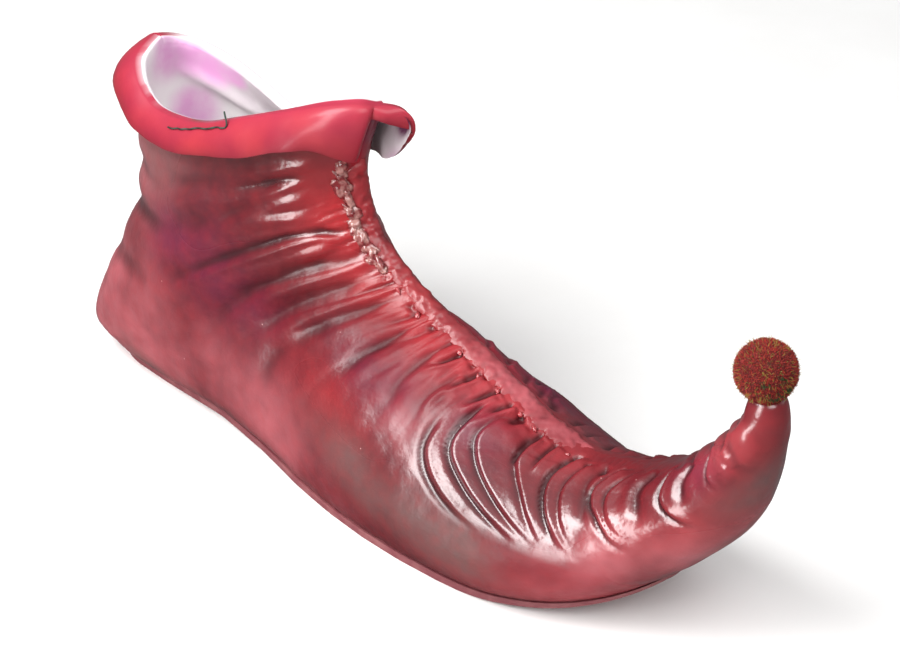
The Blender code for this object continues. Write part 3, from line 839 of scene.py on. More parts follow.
# Clouds of paint read off the photo: tone, spot along and down, reach along and down, strength and side
ZONES = (
    Zone(Tone.BRIGHT, 40, 8, 40, 26, 0.7),
    Zone(Tone.BRIGHT, 95, 6, 45, 20, 0.55),
    Zone(Tone.BRIGHT, 155, 6, 45, 16, 0.65),
    Zone(Tone.BRIGHT, 112, 64, 20, 14, 0.45),
    Zone(Tone.BRIGHT, 224, 42, 22, 16, 0.9),
    Zone(Tone.BRIGHT, 195, 72, 28, 16, 0.6),
    Zone(Tone.BRIGHT, 268, 14, 24, 16, 0.65),
    Zone(Tone.DUSTY, 217, 50, 24, 16, 0.85),
    Zone(Tone.DUSTY, 118, 32, 34, 12, 0.2),
    Zone(Tone.DUSTY, 145, 12, 46, 12, 0.28),
    Zone(Tone.DUSTY, 32, 118, 14, 16, 0.5),
    Zone(Tone.DUSTY, 134, 46, 12, 9, 0.4),
    Zone(Tone.DUSTY, 22, 114, 20, 30, 0.7),
    Zone(Tone.DUSTY, 62, 155, 20, 46, 0.35),
    Zone(Tone.DUSTY, 84, 168, 26, 46, 0.75),
    Zone(Tone.DUSTY, 112, 106, 24, 26, 0.65),
    Zone(Tone.DUSTY, 192, 72, 26, 13, 0.5),
    Zone(Tone.DUSTY, 262, 12, 20, 9, 0.3),
    Zone(Tone.GRIME, 165, 60, 12, 11, 0.9),
    Zone(Tone.GRIME, 150, 70, 22, 12, 0.75),
    Zone(Tone.GRIME, 130, 74, 14, 12, 0.5),
    Zone(Tone.GRIME, 252, 36, 16, 10, 0.8),
    Zone(Tone.GRIME, 26, 106, 18, 26, 0.9),
    # Painted shade and grime: the heel's lowest band by the sole is darkened
    Zone(Tone.GRIME, 96, 166, 16, 11, 0.7),
    Zone(Tone.GRIME, 114, 140, 14, 9, 0.5),
    Zone(Tone.PLUM, 8, 2, 14, 10, 1.0),
    Zone(Tone.PLUM, 150, 26, 12, 10, 0.5),
    Zone(Tone.PLUM, 245, 14, 12, 9, 0.35),
    Zone(Tone.PLUM, 112, 40, 16, 12, 0.35),
    # Painted shade with plum paint: the middle of the side and a fold below it are darkened
    Zone(Tone.PLUM, 66, 78, 22, 18, 0.55),
    Zone(Tone.PLUM, 53, 100, 8, 14, 0.5),
    # Painted shade with plum paint: the far side is darkened
    Zone(Tone.PLUM, 130, 20, 60, 16, 0.6, Side.LEFT),
    Zone(Tone.GRIME, 168, 14, 26, 14, 0.9, Side.LEFT),
    Zone(Tone.MATT, 106, 20, 38, 16, 1.0),
    Zone(Tone.MATT, 118, 38, 18, 13, 0.8),
    Zone(Tone.MATT, 158, 12, 40, 12, 0.9),
    Zone(Tone.MATT, 176, 58, 26, 6, 1.0),
    Zone(Tone.MATT, 188, 54, 16, 5, 1.0),
    Zone(Tone.MATT, 76, 56, 20, 28, 0.8),
    Zone(Tone.MATT, 215, 8, 30, 12, 0.6),
    Zone(Tone.MATT, 72, 106, 18, 18, 0.6),
    Zone(Tone.MATT, 105, 150, 55, 56, 0.9),
    Zone(Tone.MATT, 150, 96, 34, 24, 1.0),
    Zone(Tone.MATT, 188, 78, 34, 18, 1.0),
    Zone(Tone.MATT, 140, 20, 80, 30, 0.8, Side.LEFT),
)


def paint_weights(along: Array, down: Array) -> Array:
    """Share of each tone at spots on the upper.

    Args:
        along: Millimetres along the front seam.
        down: Millimetres down the side, below zero on the right.

    Returns:
        A row of five shares for each spot, in the order of the tones.
    """
    weights = np.zeros((len(along), len(Tone)))
    reach = np.abs(down)
    for zone in ZONES:
        far = ((along - zone.along) / zone.along_reach) ** 2 + ((reach - zone.down) / zone.down_reach) ** 2
        here = 1.0 if zone.side is None else down * zone.side.sign > 0
        weights[:, zone.tone.value] += zone.strength * np.exp(-far) * here
    return np.clip(weights, 0.0, 1.0)


def add_node(
    tree: NodeTree, kind: str, inputs: dict | None = None, **settings: object
) -> Node:
    """Add a shader node with its settings, and fill its inputs with values or links.

    Args:
        tree: Node tree of a material.
        kind: Blender's name of the node, without its prefix.
        inputs: Values or output sockets by the name or number of the input.
        **settings: Properties of the node.

    Returns:
        The new node.
    """
    node = tree.nodes.new("ShaderNode" + kind)
    for name, value in settings.items():
        setattr(node, name, value)
    for name, value in (inputs or {}).items():
        if isinstance(value, NodeSocket):
            tree.links.new(value, node.inputs[name])
        else:
            node.inputs[name].default_value = value
    return node


def per_mm(size: float) -> float:
    """Scale of a pattern whose parts are so many millimetres across."""
    return 1.0 / (size * MM)


@dataclass(frozen=True)
class Finish:
    """A surface finish: plain values, patterns on the piece's own coordinates, and tones laid by them."""

    name: str
    # Colour under the tones, and the tones from the ground up: the share each is laid by, and its colour
    ground: str = "ffffff"
    tones: Names = ()
    # Values that are the same all over the surface, by the shader's own names
    sockets: Values = ()
    # Patterns linked to the shader, by its own names
    links: Names = ()
    # Values stored in the mesh: those of one number, and the names of the four in its paint
    marks: tuple[str, ...] = ()
    paint: tuple[str, ...] = ()
    # Soft clouds: name, millimetres across and detail
    clouds: Clouds = ()
    # Scattered specks: name and millimetres apart
    specks: Values = ()
    # Ranges: name, what is read, its low and high, and what they are turned to
    ranges: Ranges = ()
    # Sums: name, operation and terms
    sums: tuple[tuple[str, str, tuple], ...] = ()
    # Bumps: what is read, strength, millimetres, and the sockets they go to
    bumps: Bumps = ()

    def material(self) -> Material:
        """Make the material and dress its shader.

        Returns:
            The new material.
        """
        material = bpy.data.materials.new(self.name)
        material.use_nodes = True
        tree = material.node_tree
        shader = tree.nodes["Principled BSDF"]
        for socket, value in self.sockets:
            shader.inputs[socket].default_value = value
        self.dress(tree, shader)
        return material

    def patterns(self, tree: NodeTree) -> dict[str, NodeSocket]:
        """Make the patterns.

        Args:
            tree: Node tree of the material.

        Returns:
            The socket of each pattern by its name.
        """
        where = add_node(tree, "TexCoord").outputs["Object"]
        found = {"where": where}
        for name in self.marks:
            found[name] = add_node(tree, "Attribute", attribute_name=name).outputs["Fac"]
        if self.paint:
            stored = add_node(tree, "Attribute", attribute_name="paint").outputs
            parts = add_node(tree, "SeparateColor", {"Color": stored["Color"]}).outputs
            found.update(zip(self.paint, (*parts, stored["Alpha"])))
        for name, size, detail in self.clouds:
            inputs = {"Vector": where, "Scale": per_mm(size), "Detail": detail}
            found[name] = add_node(tree, "TexNoise", inputs).outputs["Fac"]
        for name, size in self.specks:
            inputs = {"Vector": where, "Scale": per_mm(size)}
            found[name] = add_node(tree, "TexVoronoi", inputs).outputs["Distance"]
        for name, source, span in self.ranges:
            inputs = {"Value": found[source], **dict(enumerate(span, start=1))}
            found[name] = add_node(tree, "MapRange", inputs, clamp=True).outputs[0]
        for name, operation, terms in self.sums:
            inputs = {place: found.get(term, term) for place, term in enumerate(terms)}
            found[name] = add_node(tree, "Math", inputs, operation=operation).outputs[0]
        return found

    def dress(self, tree: NodeTree, shader: Node) -> None:
        """Lay the tones and link the patterns to the shader.

        Args:
            tree: Node tree of the material.
            shader: Its shader.
        """
        found = self.patterns(tree)
        color = linear(self.ground)
        for share, tone in self.tones:
            mixed = add_node(tree, "Mix", {0: found[share], 6: color, 7: linear(tone)}, data_type="RGBA")
            color = mixed.outputs[2]
        tree.links.new(color, shader.inputs["Base Color"])
        for socket, name in self.links:
            tree.links.new(found[name], shader.inputs[socket])
        for source, strength, size, sockets in self.bumps:
            inputs = {"Height": found[source], "Strength": strength, "Distance": size * MM}
            bump = add_node(tree, "Bump", inputs)
            for socket in sockets:
                tree.links.new(bump.outputs["Normal"], shader.inputs[socket])


@dataclass(frozen=True)
class PaintedLatex(Finish):
    """Cast latex brushed with thinned red paint and sealed with gloss."""

    # Wet glints on ridges and plates, soft clouds where the paint was rubbed, painted shade in the folds, and
    # pale specks that are painted glints
    ground: str = "4c0a14"
    tones: Names = (
        ("bright_share", "9a1a1f"),
        ("dusty_share", "a8565d"),
        ("grime_and_shade_share", "5e4140"),
        ("plum_and_shade_share", "621438"),
        ("streak", "9a1a1f"),
        # Painted shade in the folds and hollows
        ("hollow_shade", "24070c"),
        # Pale specks on the nibs: painted glints
        ("nib_and_glint", "d8a6a4"),
    )
    # The coat's blur is linked, and its plain value is near the mean of it
    sockets: Values = (
        ("Specular IOR Level", 0.05), ("Coat IOR", 1.8), ("Coat Roughness", 0.3),
    )
    links: Names = (("Roughness", "rough"), ("Coat Roughness", "blur"), ("Coat Weight", "coat"))
    marks: tuple[str, ...] = ("hollow_shade", "matt")
    paint: tuple[str, ...] = ("bright", "dusty", "grime_and_shade", "plum_and_shade")
    clouds: Clouds = (
        ("cloud", 26.0, 3.0), ("mottle", 5.0, 4.0), ("ripple", 2.6, 2.0),
    )
    specks: Values = (("speck", 11.0),)
    ranges: Ranges = (
        ("breaks", "cloud", (0.32, 0.62, 0.45, 1.1)),
        ("streak", "mottle", (0.35, 0.75, 0.0, 0.17)),
        ("nib_and_glint", "speck", (0.018, 0.03, 0.45, 0.0)),
        ("rough", "mottle", (0.3, 0.7, 0.30, 0.46)),
        ("satin", "dusty", (0.1, 0.7, 0.22, 0.36)),
        ("coat", "matt", (0.0, 1.0, 0.95, 0.15)),
    )
    sums: tuple[tuple[str, str, tuple], ...] = (
        ("bright_share", "MULTIPLY", ("bright", "breaks")),
        ("dusty_share", "MULTIPLY", ("dusty", "breaks")),
        ("grime_and_shade_share", "MULTIPLY", ("grime_and_shade", "breaks")),
        ("plum_and_shade_share", "MULTIPLY", ("plum_and_shade", "breaks")),
        ("blur", "MULTIPLY_ADD", ("matt", 0.2, "satin")),
        ("relief", "ADD", ("ripple", "nib_and_glint")),
    )
    bumps: Bumps = (
        ("relief", 0.25, 0.6, ("Normal", "Coat Normal")),
    )


@dataclass(frozen=True)
class CuffLatex(Finish):
    """Cast latex brushed with brighter crimson and left satin."""

    # A soft sheen on the fold, a pinker top with painted light, painted shade toward the hem, faint brush
    # clouds, a few nibs with pale painted glints, and bare latex where the edge is worn
    ground: str = "86142a"
    tones: Names = (
        ("warm", "a0262c"),
        # Pale specks on the nibs: painted glints
        ("nib_and_glint", "f0a9a9"),
        # A pinker tint with painted light on the fold's top, then painted shade toward the hem
        ("blush_and_light", "a82c44"),
        ("hollow_shade", "640c1b"),
        ("bare", "ece4e8"),
        ("moss", "45431f"),
    )
    sockets: Values = (
        ("Roughness", 0.5), ("Specular IOR Level", 0.3), ("Coat Weight", 0.4), ("Coat Roughness", 0.22),
    )
    marks: tuple[str, ...] = ("blush_and_light", "hollow_shade", "bare", "moss")
    clouds: Clouds = (("cloud", 22.0, 4.0), ("ripple", 3.0, 3.0))
    specks: Values = (("speck", 13.0),)
    ranges: Ranges = (
        ("warm", "cloud", (0.4, 0.68, 0.0, 0.9)),
        ("nib_and_glint", "speck", (0.016, 0.028, 0.6, 0.0)),
    )
    bumps: Bumps = (("ripple", 0.16, 0.5, ("Normal",)),)


@dataclass(frozen=True)
class RawLatex(Finish):
    """Bare cast latex, unpainted."""

    # Matt off-white, with lilac stains where paint has bled through, and grey patches of painted shade inside
    # the far wall
    ground: str = "f6f2f2"
    tones: Names = (
        ("painted_shade_side", "cfc4c9"),
        ("painted_shade_back", "cfc4c9"),
        ("lilac_back", "e4a2d4"),
        ("lilac_bend", "e4a2d4"),
        ("lilac_side", "e4a2d4"),
        ("lilac_end", "e4a2d4"),
        ("lilac_low", "e4a2d4"),
        ("lilac_front", "e4a2d4"),
        # Painted shade with a purple tint under the cuff's wing
        ("shade_and_purple", "4a1236"),
    )
    # Each stain: its name, a point in millimetres and its reach; the grey ones are painted shade
    stains: tuple[tuple[str, float, float, float, float], ...] = (
        ("painted_shade_side", -118.0, 24.0, 124.0, 24.0),
        ("painted_shade_back", -136.0, 22.0, 124.0, 16.0),
        ("lilac_back", -152.0, 11.0, 134.0, 15.0),
        ("lilac_bend", -145.0, 18.0, 129.0, 11.0),
        ("lilac_side", -138.0, 21.0, 126.0, 9.0),
        ("lilac_end", -128.0, 23.0, 126.0, 7.0),
        ("lilac_low", -149.0, 17.0, 106.0, 12.0),
        ("lilac_front", -16.0, 16.0, 128.0, 12.0),
    )
    stain_core: float = 0.35
    stain_rim: float = 1.25
    stain_share: float = 0.95
    sockets: Values = (("Roughness", 0.5), ("IOR", 1.5))
    marks: tuple[str, ...] = ("shade_and_purple",)
    clouds: Clouds = (("mottle", 9.0, 3.0),)
    ranges: Ranges = (("uneven", "mottle", (0.25, 0.6, 0.6, 1.0)),)
    bumps: Bumps = (("mottle", 0.25, 0.8, ("Normal",)),)

    def patterns(self, tree: NodeTree) -> dict[str, NodeSocket]:
        """Make the patterns, and stains with soft uneven edges round a few points.

        Args:
            tree: Node tree of the material.

        Returns:
            The socket of each pattern by its name.
        """
        found = super().patterns(tree)
        for name, x, y, z, reach in self.stains:
            ends = {0: found["where"], 1: (x * MM, y * MM, z * MM)}
            far = add_node(tree, "VectorMath", ends, operation="DISTANCE").outputs["Value"]
            span = (reach * self.stain_core * MM, reach * self.stain_rim * MM, self.stain_share, 0.0)
            inputs = {"Value": far, **dict(enumerate(span, start=1))}
            near = add_node(tree, "MapRange", inputs, interpolation_type="SMOOTHSTEP").outputs[0]
            terms = {0: near, 1: found["uneven"]}
            found[name] = add_node(tree, "Math", terms, operation="MULTIPLY").outputs[0]
        return found


@dataclass(frozen=True)
class SoleLatex(Finish):
    """Bare brown latex of the sole."""

    # Matt, with paler scuffs and a fine grain, so that the sole reads as a dull dark line
    ground: str = "783a40"
    tones: Names = (("worn", "8c5556"),)
    sockets: Values = (("Roughness", 0.62),)
    clouds: Clouds = (("scuff", 7.0, 6.0), ("grain", 1.2, 2.0))
    ranges: Ranges = (("worn", "scuff", (0.42, 0.7, 0.0, 0.8)),)
    bumps: Bumps = (("grain", 0.35, 0.3, ("Normal",)),)


@dataclass(frozen=True)
class SeamCement(Finish):
    """Latex cement squeezed from the seam, set hard."""

    # Red-brown lumps with pale streaks that shine as if wet
    ground: str = "6c1d21"
    tones: Names = (("amber", "a47670"),)
    sockets: Values = (
        ("Roughness", 0.16), ("Coat Weight", 1.0), ("Coat Roughness", 0.05),
    )
    clouds: Clouds = (("streak", 3.4, 2.0),)
    ranges: Ranges = (("amber", "streak", (0.4, 0.65, 0.0, 1.0)),)


@dataclass(frozen=True)
class CutPile(Finish):
    """Cut pile of the pompom, in acrylic fibre."""

    # Red fibres with a few brown and olive ones, dull at any angle
    tints: tuple[tuple[float, str], ...] = (
        (0.0, "500d0a"),
        (0.40, "901c17"),
        (0.75, "b23022"),
        (0.82, "86501f"),
        (0.92, "a0923a"),
        (1.0, "36441a"),
    )
    sockets: Values = (
        ("Roughness", 0.9), ("Sheen Weight", 0.05), ("Sheen Roughness", 0.5),
    )

    def dress(self, tree: NodeTree, shader: Node) -> None:
        """Colour each fibre by its own tint.

        Args:
            tree: Node tree of the material.
            shader: Its shader.
        """
        tint = add_node(tree, "Attribute", attribute_name="tint").outputs["Fac"]
        ramp = add_node(tree, "ValToRGB", {"Fac": tint})
        stops = ramp.color_ramp.elements
        for number, (place, color) in enumerate(self.tints):
            stop = stops[number] if number < 2 else stops.new(place)
            stop.position = place
            stop.color = linear(color)
        tree.links.new(ramp.outputs["Color"], shader.inputs["Base Color"])


@dataclass(frozen=True)
class SewingThread(Finish):
    """Waxed sewing thread."""

    # Black-green, banded by the twist of its plies, which are drawn coarse enough to show
    ground: str = "16211b"
    tones: Names = (("ply", "33453a"),)
    sockets: Values = (("Roughness", 0.6),)
    ply_mm: float = 0.6
    # Radians that the wave pattern turns through in one unit of its scale
    wave_turn: float = 20.0

    def patterns(self, tree: NodeTree) -> dict[str, NodeSocket]:
        """Make the bands of the plies.

        Args:
            tree: Node tree of the material.

        Returns:
            The socket of each pattern by its name.
        """
        found = super().patterns(tree)
        inputs = {"Vector": found["where"], "Scale": per_mm(self.ply_mm) / self.wave_turn}
        found["ply"] = add_node(tree, "TexWave", inputs, bands_direction="DIAGONAL").outputs["Fac"]
        return found


@dataclass(frozen=True)
class PaperFloor(Finish):
    """White paper under the shoe."""

    # Matt and even, with the faint clouds of its pulp
    ground: str = "f4f4f3"
    tones: Names = (("pulp", "ecebe9"),)
    sockets: Values = (("Roughness", 0.8),)
    clouds: Clouds = (("pulp", 60.0, 3.0),)


def lay_grid(points: Array, extras: dict[str, Array] | None = None) -> bmesh.types.BMesh:
    """Lay a grid over a table of points, facing out, and close it where its sides meet.

    Args:
        points: Points in millimetres from the back of the heel, rows by columns.
        extras: Named values for each point: one number, or four for a colour.

    Returns:
        The grid, in metres in the frame.
    """
    rows, columns = points.shape[:2]
    points = points.copy()
    meets = np.linalg.norm(points[:, 0] - points[:, -1], axis=1) < BACK_GAP
    points[meets, 0] = points[meets, -1] = (points[meets, 0] + points[meets, -1]) / 2
    bm = bmesh.new()
    bmesh.ops.create_grid(bm, x_segments=columns - 1, y_segments=rows - 1, size=1.0)
    placed = ((points - MIDDLE) * MM).reshape(-1, 3)
    for vert, spot in zip(bm.verts, placed):
        vert.co = spot
    for name, values in (extras or {}).items():
        is_color = values.ndim == 3
        layers = bm.verts.layers.float_color if is_color else bm.verts.layers.float
        layer = layers.new(name)
        for vert, value in zip(bm.verts, values.reshape(-1, 4) if is_color else values.ravel()):
            vert[layer] = value
    bmesh.ops.remove_doubles(bm, verts=bm.verts, dist=SAME_SPOT * MM)
    bmesh.ops.reverse_faces(bm, faces=bm.faces)
    return bm


def add_piece(name: str, bm: bmesh.types.BMesh, finishes: list[Material]) -> Object:
    """Write a mesh, shade it smooth and link it as a named piece.

    Args:
        name: Name of the piece.
        bm: Its mesh, which is freed.
        finishes: Its materials, in the order of the slots.

    Returns:
        The new object.
    """
    mesh = bpy.data.meshes.new(name)
    bm.to_mesh(mesh)
    bm.free()
    mesh.shade_smooth()
    for finish in finishes:
        mesh.materials.append(finish)
    piece = bpy.data.objects.new(name, mesh)
    bpy.context.scene.collection.objects.link(piece)
    return piece


def seat_piece(piece: Object, slot: str, *nodes: str) -> Object:
    """Ride a piece on the shoe's one body and hide the solids that it stands for.

    Args:
        piece: Mesh or curve of the piece.
        slot: Material slot of the solids that its finish belongs to; not used.
        *nodes: Nodes of the solids that it stands for.

    Returns:
        The same piece.
    """
    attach(piece, ROOT)
    if nodes:
        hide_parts(*nodes)
    log.info("%s: %d vertices", piece.name, len(piece.data.vertices) if piece.type == "MESH" else 0)
    return piece


def add_wall(piece: Object, thick: float, inner: int = 0) -> None:
    """Give a sheet a wall on its inner side.

    Args:
        piece: Sheet that faces out.
        thick: Millimetres of wall.
        inner: Steps to the material slot of the inner face.
    """
    wall = piece.modifiers.new("wall", "SOLIDIFY")
    wall.thickness = thick * MM
    wall.offset = -1.0
    wall.use_rim = True
    wall.material_offset = inner


def add_round(piece: Object, width: float) -> None:
    """Round the sharp edges of a piece.

    Args:
        piece: Piece with sharp edges.
        width: Millimetres of bevel.
    """
    bevel = piece.modifiers.new("round", "BEVEL")
    bevel.affect = "EDGES"
    bevel.width = width * MM
    bevel.segments = 3
    bevel.profile = 0.5
    bevel.material = -1
    bevel.limit_method = "ANGLE"
    bevel.angle_limit = math.radians(50)


def waves(points: Array, size: float, seed: float) -> Array:
    """Soft noise from -1 to 1 at points in millimetres, with swells of so many millimetres."""
    return np.array([noise.noise(Vector(spot) / size + Vector((seed, 0.0, 0.0))) for spot in points])


def soften(table: Array, reach: int) -> Array:
    """Average a table over its neighbours.

    Args:
        table: Rows of numbers.
        reach: Rows and columns to take in either way.

    Returns:
        A table of the same size.
    """
    kernel = np.ones(2 * reach + 1) / (2 * reach + 1)
    padded = np.pad(table, reach, mode="edge")
    rows = np.apply_along_axis(np.convolve, 0, padded, kernel, mode="valid")
    return np.apply_along_axis(np.convolve, 1, rows, kernel, mode="valid")


@dataclass
class Upper:
    """Hollow upper in wrinkled latex: a painted skin outside and a bare lining inside."""

    ankle_rows: int = 32
    gather_rows: int = 148
    vamp_rows: int = 140
    tip_rows: int = 28
    right_columns: int = 172
    left_columns: int = 98
    wall: float = 2.0
    rim_start: float = 0.6
    gather_start: float = 34.0
    vamp_start: float = 138.0
    tip_start: float = 262.0
    front_close: float = 1.3
    # Swells of the skin and of the lining: height, size and seed
    swells: tuple[Triple, ...] = ((0.5, 20.0, 3.0), (0.25, 7.0, 8.0))
    lining_swell: Triple = (0.35, 15.0, 5.0)
    deepest: float = 3.0
    highest: float = 3.0
    # Where the folds fade: towards the sole's edge, below the cuff, at the tip and under the band
    edge_fade: Pair = (0.90, 0.98)
    rim_fade: Pair = (8.0, 22.0)
    tip_fade: Pair = (278.0, 285.0)
    band_top: Pair = (20.0, 26.0)
    band_foot: Pair = (182.0, 188.0)
    band_edge: Pair = (0.45, 0.85)
    # Painted shade in the hollows: rows and columns averaged round each point, the sinking that gives full
    # shade, its power and share
    hollow_reach: int = 6
    hollow_depth: float = 1.2
    hollow_power: float = 1.1
    hollow_share: float = 0.8
    lining_rows: int = 180
    lining_across: int = 140
    lining_stop: float = 12.0
    # Room that the lining leaves for the folds, and where it begins and ends
    fold_room: float = 1.4
    room_start: Pair = (30.0, 60.0)
    room_edge: Pair = (0.55, 0.85)

    def relief(
        self, points: Array, normals: Array, along: Array, down: Array
    ) -> Array:
        """Height of the wrinkled skin over the plain last.

        Args:
            points: Points of the last in millimetres.
            normals: Normals there.
            along: Millimetres along the front seam of each point.
            down: Millimetres down the side, below zero on the right.

        Returns:
            Millimetres out along each normal.
        """
        folds = [*CREASES, *HEEL_BULGES, *CURL_BANDS]
        folds += [fold.mirrored() for fold in (*CREASES, *HEEL_BULGES)]
        height = sum(rise * waves(points, size, seed) for rise, size, seed in self.swells)
        for pleats in PLEATS:
            height += pleats.relief(along, down)
        height += SeamPits().relief(points)
        for fold in folds:
            height += fold.relief(points, normals)
        return np.where(
            height < 0,
            self.deepest * np.tanh(height / self.deepest),
            self.highest * np.tanh(height / self.highest),
        )

    def build(self, painted: Material) -> Object:
        """Build the painted skin, turned in at the rim.

        Args:
            painted: Finish of the skin.

        Returns:
            The skin.
        """
        end = LAST.seam_line[1][-1]
        steps = [
            np.linspace(self.rim_start, self.gather_start, self.ankle_rows, endpoint=False),
            np.linspace(self.gather_start, self.vamp_start, self.gather_rows, endpoint=False),
            np.linspace(self.vamp_start, self.tip_start, self.vamp_rows, endpoint=False),
            np.linspace(self.tip_start, end, self.tip_rows),
        ]
        turns = [LAST.heel_row, LAST.toe_row]
        stations = np.unique(np.concatenate([LAST.station_at(np.concatenate(steps)), turns]))
        on_right = np.linspace(1.0, 0.0, self.right_columns, endpoint=False) ** self.front_close
        on_left = np.linspace(0.0, 1.0, self.left_columns + 1) ** self.front_close
        around = np.concatenate([-on_right, on_left])
        points = LAST.surface(stations, around)
        normals = LAST.outward(stations, around)
        along = np.repeat(LAST.along_at(stations)[:, None], len(around), 1)
        right = LAST.run_at(stations, Side.RIGHT)[:, None]
        left = LAST.run_at(stations, Side.LEFT)[:, None]
        down = np.where(around[None, :] < 0, around * right, around * left)
        flat, facing = points.reshape(-1, 3), normals.reshape(-1, 3)
        height = self.relief(flat, facing, along.ravel(), down.ravel()).reshape(along.shape)
        height *= 1.0 - smoothstep(*self.edge_fade, np.abs(around))[None, :]
        height *= smoothstep(*self.rim_fade, along)
        height *= 1.0 - smoothstep(*self.tip_fade, along)
        under_band = np.where(down < 0, -down / SeamStrip.right, down / SeamStrip.left)
        band_here = smoothstep(*self.band_top, along) * (1.0 - smoothstep(*self.band_foot, along))
        height *= 1.0 - band_here * (1.0 - smoothstep(*self.band_edge, under_band))
        skin = points + normals * height[:, :, None]
        tones = paint_weights(along.ravel(), down.ravel()).reshape(*along.shape, len(Tone))
        paint, matt = tones[:, :, :4], tones[:, :, Tone.MATT.value]
        # Painted shade: each point darkens by how far it sinks below its neighbours
        sunk = np.clip((soften(height, self.hollow_reach) - height) / self.hollow_depth, 0.0, 1.0)
        hollow_shade = sunk**self.hollow_power * self.hollow_share
        turned = skin[:1] - normals[:1] * self.wall
        skin = np.concatenate([turned, skin])
        extras = {"paint": paint, "hollow_shade": hollow_shade, "matt": matt}
        extras = {name: np.concatenate([values[:1], values]) for name, values in extras.items()}
        piece = add_piece("upper_skin", lay_grid(skin, extras), [painted])
        return seat_piece(piece, "red_latex", "upper")

    def line(self, raw: Material) -> Object:
        """Build the bare lining, which faces into the shoe.

        Args:
            raw: Finish of the lining.

        Returns:
            The lining.
        """
        end = LAST.seam_line[1][-1]
        along = np.linspace(self.rim_start, end - self.lining_stop, self.lining_rows)
        stations = np.unique(np.concatenate([LAST.station_at(along), [LAST.heel_row, LAST.toe_row]]))
        around = np.linspace(-1.0, 1.0, self.lining_across + 1)
        points = LAST.surface(stations, around)
        normals = LAST.outward(stations, around)
        flat = points.reshape(-1, 3)
        rise, size, seed = self.lining_swell
        depth = self.wall + rise * (1.0 + waves(flat, size, seed).reshape(points.shape[:2]))
        depth += LINING_RIDGE.relief(flat, normals.reshape(-1, 3)).reshape(depth.shape)
        room = self.fold_room * smoothstep(*self.room_start, LAST.along_at(stations))[:, None]
        depth += room * (1.0 - smoothstep(*self.room_edge, np.abs(around)))[None, :]
        depth[0] = self.wall
        bm = lay_grid(points - normals * depth[:, :, None])
        bmesh.ops.reverse_faces(bm, faces=bm.faces)
        return seat_piece(add_piece("upper_lining", bm, [raw]), "raw_latex", "upper")


